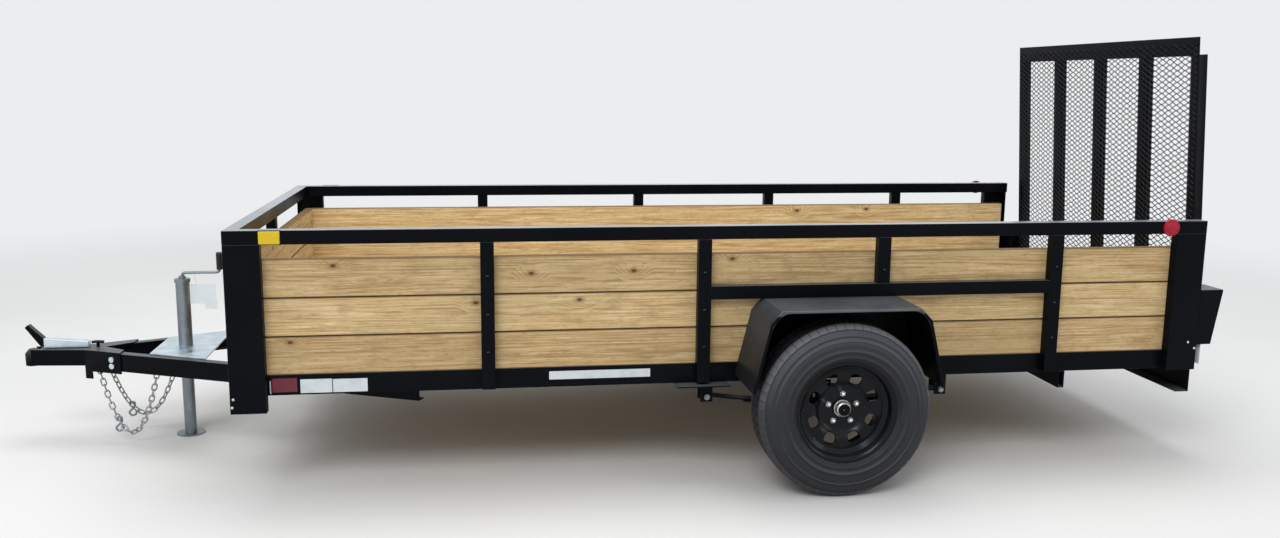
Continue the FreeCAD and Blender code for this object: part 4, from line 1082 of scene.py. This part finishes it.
    def rim(self):
        """Drop-centre barrel, and a dished disc whose windows have rolled edges."""
        outer = [(0.1938, 0.0822), (0.1893, 0.0808), (0.1815, 0.0765), (0.1778, 0.0722),
                 (0.1765, 0.0440), (0.1585, 0.0345)]
        inner = [(0.1545, 0.0375), (0.1715, 0.0480), (0.1735, 0.0735), (0.1765, 0.0785),
                 (0.1865, 0.0845), (0.1915, 0.0855), (0.1940, 0.0845)]
        centre = [(0.033, 0.0075), (0.033, 0.0140), (0.0400, 0.0150), (0.0470, 0.0142),
                  (0.0700, 0.0142), (0.0800, 0.0150), (0.0880, 0.0185), (0.0885, 0.0125),
                  (0.0810, 0.0085), (0.0700, 0.0080), (0.0400, 0.0080)]
        bm = bmesh.new()
        lathe(bm, both_sides(outer, inner), 112)
        lathe(bm, centre, 96)
        barrel = from_bmesh("rim_%s_barrel" % self.side, bm, 40)
        self.settle(barrel, "black_gloss", "rim_steel", "rim_" + self.side)
        count = detail().windows
        disc = grown(self.disc_sector(), tree_round_axle, "black_gloss", 60,
                     "rim_%s_disc" % self.side, Count=count, Phase=math.pi / count)
        self.settle(disc, None, "rim_steel")

    def disc_face(self, radius):
        """How far out the disc's face stands at a radius."""
        marks = ((0.080, 0.0150), (0.092, 0.0200), (0.104, 0.0290), (0.116, 0.0350),
                 (0.130, 0.0372), (0.146, 0.0372), (0.157, 0.0360))
        for (near, low), (far, high) in zip(marks, marks[1:]):
            if radius <= far:
                share = max(0.0, min(1.0, (radius - near) / (far - near)))
                return low + (high - low) * share
        return marks[-1][1]

    def disc_sector(self):
        """One window and the metal round it, from a grid between its edge and the sector's."""
        # Each loop of the grid: its share of the way out, and how far it is pressed in or out.
        loops = ((1.0, 0.0), (0.80, 0.0), (0.62, 0.0), (0.46, 0.0), (0.36, 0.0012),
                 (0.30, -0.001), (0.27, -0.0075))
        count, squareness, taper = 40, 2 / 3.2, 0.20
        reach = math.pi / detail().windows
        centre, half_sector, tall, wide = 0.1205, 0.0355, 0.0185, 0.0215
        least = loops[-1][0]
        bm = bmesh.new()
        rings = []
        for share, press in loops:
            ring = []
            for step in range(count):
                turn = 2 * math.pi * (step + 0.5) / count
                c, s = math.cos(turn), math.sin(turn)
                box = 1 / max(abs(c), abs(s))
                edge_r, edge_a = centre + half_sector * s * box, reach * c * box
                hole_r = centre + tall * math.copysign(abs(s) ** squareness, s)
                hole_a = (wide * (1 + taper * s)
                          * math.copysign(abs(c) ** squareness, c)) / hole_r
                blend = (share - least) / (1 - least)
                radius = hole_r + (edge_r - hole_r) * blend
                angle = hole_a + (edge_a - hole_a) * blend
                ring.append(bm.verts.new((radius * math.sin(angle),
                                          self.disc_face(radius) + press,
                                          radius * math.cos(angle))))
            rings.append(ring)
        for here, there in zip(rings, rings[1:]):
            for n in range(count):
                after = (n + 1) % count
                bm.faces.new((here[n], here[after], there[after], there[n]))
        bmesh.ops.recalc_face_normals(bm, faces=bm.faces)
        front = sum((f.normal * f.calc_area() for f in bm.faces), Vector())
        if front.y < 0:
            bmesh.ops.reverse_faces(bm, faces=bm.faces)
        thing = from_bmesh("disc_sector", bm, 60)
        wall = thing.modifiers.new("metal", "SOLIDIFY")
        wall.thickness = 0.0035
        wall.offset = -1
        return made_plain(thing)

    def hub(self):
        """Bright grease cap, black hub, and domed nuts on their circle."""
        smoothed("hub_" + self.side, "black_chassis", "hub_steel", "wheel_" + self.side)
        low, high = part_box("hub_" + self.side)
        face = max(abs(high.y), abs(low.y)) - self.out
        cap = [(0.0302, -0.038), (0.0302, -0.014), (0.0292, -0.0075), (0.0255, -0.0022),
               (0.0190, 0.0), (0.0120, -0.0004), (0.0112, -0.0026), (0.0002, -0.0030)]
        collar = [(0.0302, -0.030), (0.0325, -0.030), (0.0325, -0.024), (0.0302, -0.024)]
        bm = bmesh.new()
        for line, closed in ((cap, False), (collar, True)):
            lathe(bm, [(radius, face + along) for radius, along in line], 48, closed)
        self.settle(from_bmesh("hub_%s_cap" % self.side, bm, 50), "hub_bright", "hub_steel")
        nuts = grown(self.nut(), tree_round_axle, "chrome", 35,
                     "lug_nuts_%s_domed" % self.side, Count=detail().nuts, Phase=0.0)
        self.settle(nuts, None, "chrome_nuts", "lug_nuts_" + self.side)

    def nut(self):
        """A hexagon with a domed end, above the axle on the nuts' circle."""
        low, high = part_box("lug_nuts_" + self.side)
        foot, tip = (pick(abs(low.y), abs(high.y)) - self.out for pick in (min, max))
        circle = (high.z - self.place.translation.z) - 0.0095
        bm = bmesh.new()
        lathe(bm, [(0.0002, foot), (0.0100, foot), (0.0108, foot + 0.0015),
                   (0.0108, tip - 0.010), (0.0002, tip - 0.010)], 6, closed=False)
        lathe(bm, [(0.0092, tip - 0.0105), (0.0086, tip - 0.006), (0.0066, tip - 0.0022),
                   (0.0036, tip - 0.0005), (0.0002, tip)], 16, closed=False)
        bmesh.ops.translate(bm, vec=(0, 0, circle), verts=bm.verts)
        return from_bmesh("wheel_nut", bm, 35)


class TRAILER_OT_running_gear(bpy.types.Operator):
    """Axle, springs, hangers and clamps under the box"""

    bl_idname = "trailer.running_gear"
    bl_label = "Running gear"
    bl_options = {"REGISTER", "UNDO"}

    def execute(self, context):
        for node in ("axle", "leaf_springs", "axle_clamps", "spring_hangers"):
            smoothed(node, "black_chassis", "black_steel")
        self.hanger_bolts()
        return {"FINISHED"}

    def hanger_bolts(self):
        """Plated nuts and bolt ends on the spring eyes' bolts, outside each hanger."""
        low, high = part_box("leaf_springs")
        outer = max(abs(low.y), abs(high.y)) + 0.0115
        bm = bmesh.new()
        for low, high in solid_boxes("spring_hangers"):
            side, _ = footing(low, high)
            # The long front hanger holds its eye near its rear end.
            x = low.x + 0.124 if high.x - low.x > 0.1 else (low.x + high.x) / 2
            place = Matrix.Translation((x, side * outer, low.z + 0.022)) @ facing(side)
            for radius, depth, sides in ((0.0125, 0.007, 6), (0.0085, 0.012, 14)):
                lathe(bm, [(0.0003, 0), (radius, 0), (radius, depth), (0.0003, depth)], sides,
                      closed=False, matrix=place)
        placed(from_bmesh("hanger_nuts", bm, 30), "zinc", "chassis", "galvanised")


class TRAILER_OT_gate(bpy.types.Operator):
    """Ramp gate with its expanded metal and hinges"""

    bl_idname = "trailer.gate"
    bl_label = "Ramp gate"
    bl_options = {"REGISTER", "UNDO"}

    def execute(self, context):
        dressed("gate_frame", "black_coat", "black_steel", 0.0015, "gate", whole=False)
        smoothed("gate_hinges", "black_chassis", "black_steel")
        self.mesh()
        return {"FINISHED"}

    def mesh(self):
        """Diamonds of a flat strand over the sheet that the CAD node holds."""
        corners = cad_mesh("gate_mesh")
        points = [v.co.copy() for v in corners.verts]
        corners.free()
        low = min(points, key=lambda p: (p.z, p.x))
        top = max(points, key=lambda p: (p.z, -p.x))
        feet = sorted({round(p.x, 5) for p in points if abs(p.z - low.z) < 0.002})
        lean = math.atan2(low.x - min(p.x for p in points if p.z > top.z - 0.002),
                          top.z - low.z)
        width = max(p.y for p in points) * 2
        height = (top.z - low.z) / math.cos(lean)
        sizes = detail()
        columns, rows = round(width / sizes.mesh_long), round(height / sizes.mesh_short)
        step_y, step_z = width / columns, height / rows
        thing = grown(self.knot(step_y, step_z, sizes.strand), tree_grid, "black_coat", 30,
                      "gate_expanded_metal", Width=width - step_y, Height=height - step_z,
                      Columns=columns, Rows=rows)
        place = Matrix.Translation((min(feet), 0, low.z)) @ Matrix.Rotation(
            -lean, 4, "Y") @ Matrix.Translation((0.0016, 0, height / 2))
        thing.data.transform(place)
        placed(thing, None, "gate", "black_steel", "gate_mesh")

    def knot(self, step_y, step_z, strand):
        """Four half strands that leave one bond of the mesh, each a flat bar on edge."""
        bm = bmesh.new()
        thick, bond = 0.0024, 0.0065
        for side_y in (-1, 1):
            for side_z in (-1, 1):
                end = Vector((0, side_y * step_y / 2, side_z * step_z / 2))
                along = end.normalized()
                flat = Vector((0, -along.z, along.y)) * strand / 2
                deep = Vector((thick / 2, 0, 0))
                tilt = deep * (0.5 * side_z)
                start = Vector((0, side_y * 0.004, 0))
                rows = [[bm.verts.new(spot + a * flat + b * deep + lean * tilt)
                         for a, b in ((-1, -1), (1, -1), (1, 1), (-1, 1))]
                        for spot, lean in ((start, 1), (end, 0))]
                for n in range(4):
                    after = (n + 1) % 4
                    bm.faces.new((rows[0][n], rows[0][after], rows[1][after], rows[1][n]))
        add_box(bm, (-thick / 2, -bond, -strand * 0.85), (thick / 2, bond, strand * 0.85))
        bmesh.ops.recalc_face_normals(bm, faces=bm.faces)
        return from_bmesh("mesh_knot", bm, 30)


class TRAILER_OT_lamps(bpy.types.Operator):
    """Lenses, side markers, reflectors and the blank plate"""

    bl_idname = "trailer.lamps"
    bl_label = "Lamps and plate"
    bl_options = {"REGISTER", "UNDO"}

    def execute(self, context):
        for node, finish_name, slot in (("tail_lamps", "red", "red_lens"),
                                        ("amber_markers", "amber", "amber_lens"),
                                        ("side_reflectors", "dark_red", "red_lens")):
            dressed(node, finish_name, slot, 0.003, segments=3)
        self.round_markers()
        dressed("plate_bracket", "plate", "white_plate", 0.001)
        self.marker_bases()
        return {"FINISHED"}

    def round_markers(self):
        """Domed round lenses with a raised rim."""
        bm = bmesh.new()
        for low, high in solid_boxes("red_markers"):
            side, foot = footing(low, high)
            radius, deep = (high.x - low.x) / 2, high.y - low.y
            place = Matrix.Translation(((low.x + high.x) / 2, foot, (low.z + high.z) / 2))
            lathe(bm, [(0.0003, 0), (radius, 0), (radius, deep * 0.45),
                       (radius - 0.002, deep * 0.62), (radius - 0.007, deep * 0.66),
                       (radius - 0.009, deep * 0.60), (radius * 0.62, deep * 0.86),
                       (radius * 0.30, deep * 0.98), (0.0003, deep)], 48, closed=False,
                  matrix=place @ facing(side))
        placed(from_bmesh("round_markers", bm, 40), "red", "chassis", "red_lens", "red_markers")

    def marker_bases(self):
        """A thin black tray behind each amber lens and reflector, a little larger than it."""
        rim = 0.003
        bm = bmesh.new()
        for low, high in solid_boxes("amber_markers") + solid_boxes("side_reflectors"):
            side, foot = footing(low, high)
            near, far = sorted((foot, foot + side * rim))
            add_box(bm, (low.x - rim, near, low.z - rim), (high.x + rim, far, high.z + rim))
        placed(from_bmesh("marker_trays", bm, 30), "black_coat", "chassis", "black_steel")


class TRAILER_OT_tongue(bpy.types.Operator):
    """Channel legs, ball coupler with its latch, and the bolts"""

    bl_idname = "trailer.tongue"
    bl_label = "Tongue and coupler"
    bl_options = {"REGISTER", "UNDO"}

    def execute(self, context):
        for node in ("tongue_left", "tongue_right"):
            dressed(node, "black_coat", "black_steel")
        dressed("coupler", "black_coat", "black_steel", 0.0012)
        smoothed("coupler_socket", "black_coat", "black_steel", angle=40)
        self.latch()
        smoothed("coupler_bolts", "bright_zinc", "galvanised")
        return {"FINISHED"}

    def latch(self):
        """Raised handle, plated bar behind it, and the black T-shaped lock."""
        low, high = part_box("coupler_latch")
        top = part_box("coupler")[1].z
        ball = low.x + 0.024
        half = (high.y - low.y) / 2
        # Corners in X and Z from the ball's middle at the top of the coupler.
        handle = ((-0.024, 0.092), (-0.010, 0.104), (0.052, 0.041), (0.052, 0.009),
                  (0.034, 0.009))
        bar = ((0.047, 0.003), (0.047, 0.044), (0.226, 0.028), (0.226, 0.003))
        for name, outline, wide, finish_name, slot, nodes in (
                ("latch_handle", handle, half, "black_coat", "black_steel", ("coupler_latch",)),
                ("latch_bar", bar, half * 1.05, "bright_zinc", "galvanised", ())):
            bm = bmesh.new()
            add_prism(bm, [(ball + x, top + z) for x, z in outline], -wide, wide)
            thing = bevelled(from_bmesh(name, bm), 0.0022, 3)
            placed(thing, finish_name, "chassis", slot, *nodes)
        self.lock()

    def lock(self):
        """A bent round bar on an upright one."""
        low, high = max(solid_boxes("coupler_latch"), key=lambda box: box[0].x)
        middle, wire = (low.x + high.x) / 2, (high.y - low.y) / 2
        peak = (middle, 0, high.z - wire)
        ends = [(x, 0, high.z - 0.009) for x in (low.x + 0.004, high.x - 0.004)]
        bm = bmesh.new()
        sweep(bm, rounded_path([ends[0], peak, ends[1]], 0.012), wire, 14)
        sweep(bm, [(middle, 0, low.z), peak], wire, 14)
        placed(from_bmesh("latch_lock", bm), "black_coat", "chassis", "black_steel")


class TRAILER_OT_jack(bpy.types.Operator):
    """Plated tongue jack with its crank, grip and the blank tag"""

    bl_idname = "trailer.jack"
    bl_label = "Tongue jack"
    bl_options = {"REGISTER", "UNDO"}

    def execute(self, context):
        dressed("jack_plate", "bright_zinc", "galvanised", 0.0015)
        smoothed("jack_tube", "zinc", "galvanised")
        smoothed("jack_leg", "zinc", "galvanised", "jack_ram")
        self.crank()
        self.tag()
        return {"FINISHED"}

    def crank(self):
        """A bent bar from the cap to an upright grip with rings."""
        low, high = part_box("jack_crank")
        cap_low, cap_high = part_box("jack_tube")
        centre = (cap_low.x + cap_high.x) / 2
        end, bend = high.x - 0.013, low.z + 0.026
        bm = bmesh.new()
        sweep(bm, rounded_path([(centre, 0, low.z - 0.004), (centre, 0, bend), (end, 0, bend),
                                (end, 0, high.z - 0.006)], 0.018), 0.0062, 14)
        lathe(bm, [(0.0005, 0), (0.014, 0), (0.014, 0.012), (0.0005, 0.012)], 20, closed=False,
              matrix=Matrix.Translation((centre, 0, low.z)) @ AXIS_UP)
        placed(from_bmesh("crank_bar", bm), "zinc", "chassis", "galvanised", "jack_crank")
        line = [(0.0064, 0.0), (0.0115, 0.0)]
        for ring in range(9):
            at = 0.004 + ring * 0.0072
            line += [(0.0128, at), (0.0128, at + 0.0046), (0.0112, at + 0.0056)]
        line += [(0.0126, 0.070), (0.0105, 0.0745), (0.0003, 0.0755)]
        bm = bmesh.new()
        lathe(bm, line, 24, closed=False,
              matrix=Matrix.Translation((end, 0, high.z - 0.076)) @ AXIS_UP)
        placed(from_bmesh("crank_grip", bm, 40), "grip", "chassis", "galvanised")

    def tag(self):
        """Two blank cards on a thin string, a little curled."""
        low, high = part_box("blank_tag")
        cells = 8
        bm = bmesh.new()
        # Left, right, foot and top of each card, and how far it lies before the string.
        for left, right, foot, top, before in (
                (low.x, low.x + 0.104, low.z + 0.023, low.z + 0.109, 0.0),
                (low.x + 0.056, high.x, low.z, low.z + 0.040, 0.0006)):
            grid = []
            for row in range(cells + 1):
                v = row / cells
                grid.append([bm.verts.new((left + (right - left) * u,
                                           0.0008 * math.sin(3.1 * u + 1.3 * v) - before,
                                           foot + (top - foot) * v))
                             for u in (column / cells for column in range(cells + 1))])
            for here, there in zip(grid, grid[1:]):
                for n in range(cells):
                    bm.faces.new((here[n], here[n + 1], there[n + 1], there[n]))
        thing = from_bmesh("tag_cards", bm, 60)
        wall = thing.modifiers.new("card", "SOLIDIFY")
        wall.thickness = 0.0006
        wall.offset = 0
        # The tag's finish is a brighter copy of the card, painted light.
        placed(made_plain(thing), "tag", "chassis", "white_card", "blank_tag")
        hole = low.z + 0.102
        bm = bmesh.new()
        sweep(bm, [(low.x + 0.022 + 0.004 * math.sin(n * 0.7), 0, hole + (high.z - hole) * n / 9)
                   for n in range(10)], 0.0009, 6)
        placed(from_bmesh("tag_string", bm), "card", "chassis", "white_card")


class TRAILER_OT_chains(bpy.types.Operator):
    """Safety chains of oval links, with a hook in each"""

    bl_idname = "trailer.chains"
    bl_label = "Safety chains"
    bl_options = {"REGISTER", "UNDO"}

    def execute(self, context):
        low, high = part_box("safety_chains")
        wire, pitch, spots = detail().link_wire, 0.0262, 24
        ends = high.z - 0.006
        for side, name, drop, nodes in ((-1, "left", low.z + 0.010, ("safety_chains",)),
                                        (1, "right", low.z + 0.024, ())):
            start = Vector((low.x + 0.008, side * 0.0590, ends))
            end = Vector((high.x - 0.008, side * 0.1790, ends))
            points = []
            for n in range(spots + 1):
                share = n / spots
                spot = start.lerp(end, share)
                spot.z -= 4 * share * (1 - share) * (ends - drop)
                points.append(spot)
            length = sum((b - a).length for a, b in zip(points, points[1:]))
            links = round(length / pitch)
            thing = grown(self.route(points), tree_chain, "chain", 50, "chain_" + name,
                          Links=links, Wire=wire, Length=length / (links - 1) + 1.75 * wire,
                          Width=0.0245)
            placed(thing, None, "chassis", "zinc_chain", *nodes)
            self.hook("chain_hook_" + name, points[7])
        return {"FINISHED"}

    def route(self, points):
        """A plain curve through the points."""
        curve = bpy.data.curves.new("route", "CURVE")
        curve.dimensions = "3D"
        line = curve.splines.new("POLY")
        line.points.add(len(points) - 1)
        for point, spot in zip(line.points, points):
            point.co = (*spot, 1)
        return new_object("chain_route", curve)

    def hook(self, name, spot):
        """A bent bar hook, hung in the chain near its lowest point and clear of the ground."""
        wire, clear = 0.0046, 0.006
        top = spot + Vector((0, 0, 0.006))
        path = rounded_path([top + Vector(o) for o in (
            (-0.010, 0, -0.006), (-0.009, 0, 0.010), (0.009, 0, 0.010), (0.010, 0, -0.010),
            (-0.004, 0, -0.024), (-0.017, 0, -0.036), (-0.008, 0, -0.052), (0.012, 0, -0.048),
            (0.015, 0, -0.032))], 0.007, 4)
        lift = max(0.0, clear - min(p.z for p in path))
        bm = bmesh.new()
        sweep(bm, [p + lift * UP for p in path], wire, 10)
        placed(from_bmesh(name, bm), "zinc", "chassis", "zinc_chain")


class TRAILER_OT_stickers(bpy.types.Operator):
    """Blank stickers on the left frame rail"""

    bl_idname = "trailer.stickers"
    bl_label = "Blank stickers"
    bl_options = {"REGISTER", "UNDO"}

    def execute(self, context):
        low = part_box("side_rail_left")[0]
        thick = 0.0006
        # Distance from the rail's front end, length, height above its foot, and height.
        for number, (start, length, rise, tall) in enumerate((
                (0.094, 0.007, 0.007, 0.048), (0.202, 0.113, 0.006, 0.052),
                (0.318, 0.124, 0.006, 0.050), (1.112, 0.386, 0.029, 0.032)), 1):
            bm = bmesh.new()
            add_box(bm, (low.x + start, low.y - thick, low.z + rise),
                    (low.x + start + length, low.y, low.z + rise + tall))
            thing = bevelled(from_bmesh("blank_sticker_%d" % number, bm), 0.0002, 1)
            placed(thing, "card", "chassis", "white_card")
        return {"FINISHED"}


class TRAILER_OT_stage(bpy.types.Operator):
    """Pale floor, soft studio light and the camera"""

    bl_idname = "trailer.stage"
    bl_label = "Stage"
    bl_options = {"REGISTER", "UNDO"}

    def execute(self, context):
        context.scene.view_settings.view_transform = "Standard"
        self.floor()
        self.world(context.scene)
        self.lights()
        self.camera(context.scene)
        return {"FINISHED"}

    def floor(self):
        """A pale floor that takes the backdrop's own brightness far from the trailer."""
        bm = bmesh.new()
        bmesh.ops.create_grid(bm, x_segments=1, y_segments=1, size=60)
        thing = from_bmesh("floor", bm)
        it = Finish("floor_pale", Roughness=0.9, Specular_IOR_Level=0.1)
        cloud = it.noise(it.coords, 0.6, 4)
        it.feed(Base_Color=it.mixed(it.ranged(cloud, 0.3, 0.7), (0.74, 0.74, 0.735),
                                    (0.71, 0.71, 0.705)))
        away = it.vector("LENGTH", it.coords)
        blend = it.made("ShaderNodeMixShader", {
            0: it.ranged(away, 4.0, 9.0), 1: it.shader.outputs[0],
            2: it.made("ShaderNodeEmission", BACKDROP)})
        it.give(it.out.inputs[0], blend)
        thing.data.materials.append(it.material)

    def world(self, scene):
        """A soft sky as light, and the plain backdrop where it is seen or mirrored."""
        world = bpy.data.worlds.new("studio")
        world.use_nodes = True
        scene.world = world
        graph = Graph(world.node_tree)
        world.node_tree.nodes.clear()
        path = graph.add("ShaderNodeLightPath").outputs
        seen = graph.math("MAXIMUM", path["Is Camera Ray"], graph.math(
            "MAXIMUM", path["Is Transmission Ray"], path["Is Glossy Ray"]))
        direction = graph.add("ShaderNodeTexCoord").outputs["Generated"]
        sky = graph.ranged(graph.parts(direction)[2], -0.1, 0.9, 0.30, 0.80)
        strength = graph.plus(graph.times(seen, BACKDROP["Strength"]),
                              graph.times(graph.minus(1.0, seen), sky))
        light = graph.made("ShaderNodeBackground", {**BACKDROP, "Strength": strength})
        graph.add("ShaderNodeOutputWorld", {0: light})

    def lights(self):
        """Three soft lamps: their name, place, aim, size in metres and watts."""
        for name, place, aim, size, power in (
                ("key", (-3.0, -7.5, 7.5), (0, 0, 0.6), (5.0, 4.0), 430),
                ("top", (0.5, 0.8, 8.0), (0.2, 0, 0), (7.0, 4.0), 300),
                ("fill", (7.5, -6.0, 3.0), (0.6, 0, 0.5), (3.0, 3.0), 60)):
            lamp = bpy.data.lights.new(name, "AREA")
            lamp.shape = "RECTANGLE"
            lamp.size, lamp.size_y = size
            lamp.energy = power
            thing = new_object(name, lamp)
            thing.location = place
            towards = Vector(aim) - Vector(place)
            thing.rotation_euler = towards.to_track_quat("-Z", "Y").to_euler()

    def camera(self, scene):
        """The photograph's own view, fitted to the trailer's edges."""
        yaw, pitch, roll = 0.1493, 0.1658, 0.0089
        focal_px, photo_px, sensor_mm = 1110.09, 1280, 36
        place = (-0.5569, -4.9165, 1.5283)
        ahead = Vector((math.sin(yaw) * math.cos(pitch), math.cos(yaw) * math.cos(pitch),
                        -math.sin(pitch)))
        right = ahead.cross(UP).normalized()
        up = right.cross(ahead)
        side = right * math.cos(roll) + up * math.sin(roll)
        top = up * math.cos(roll) - right * math.sin(roll)
        data = bpy.data.cameras.new("camera")
        data.sensor_width = sensor_mm
        data.lens = focal_px / photo_px * sensor_mm
        data.dof.use_dof = False
        thing = new_object("camera", data)
        turn = Matrix((side, top, -ahead)).transposed().to_4x4()
        thing.matrix_world = Matrix.Translation(place) @ turn
        scene.camera = thing


OPERATORS = (TRAILER_OT_timber, TRAILER_OT_frame, TRAILER_OT_bolts, TRAILER_OT_fenders,
             TRAILER_OT_wheels, TRAILER_OT_running_gear, TRAILER_OT_gate, TRAILER_OT_lamps,
             TRAILER_OT_tongue, TRAILER_OT_jack, TRAILER_OT_chains, TRAILER_OT_stickers,
             TRAILER_OT_stage)


class TRAILER_PT_panel(bpy.types.Panel):
    """The trailer's finishes, sizes and pieces"""

    bl_idname = "TRAILER_PT_panel"
    bl_label = "Utility trailer"
    bl_space_type = "VIEW_3D"
    bl_region_type = "UI"
    bl_category = "Trailer"

    def draw(self, context):
        for group in (context.scene.trailer_finish, context.scene.trailer_detail):
            column = self.layout.column(align=True)
            for name in group.__annotations__:
                column.prop(group, name)
        for operator in OPERATORS:
            self.layout.operator(operator.bl_idname)


CLASSES = (TrailerFinish, TrailerDetail, *OPERATORS, TRAILER_PT_panel)


def register():
    for cls in CLASSES:
        bpy.utils.register_class(cls)
    bpy.types.Scene.trailer_finish = PointerProperty(type=TrailerFinish)
    bpy.types.Scene.trailer_detail = PointerProperty(type=TrailerDetail)


def unregister():
    del bpy.types.Scene.trailer_detail
    del bpy.types.Scene.trailer_finish
    for cls in reversed(CLASSES):
        bpy.utils.unregister_class(cls)


def main():
    register()
    for operator in OPERATORS:
        group, name = operator.bl_idname.split(".")
        getattr(getattr(bpy.ops, group), name)()


if __name__ == "__main__":
    main()
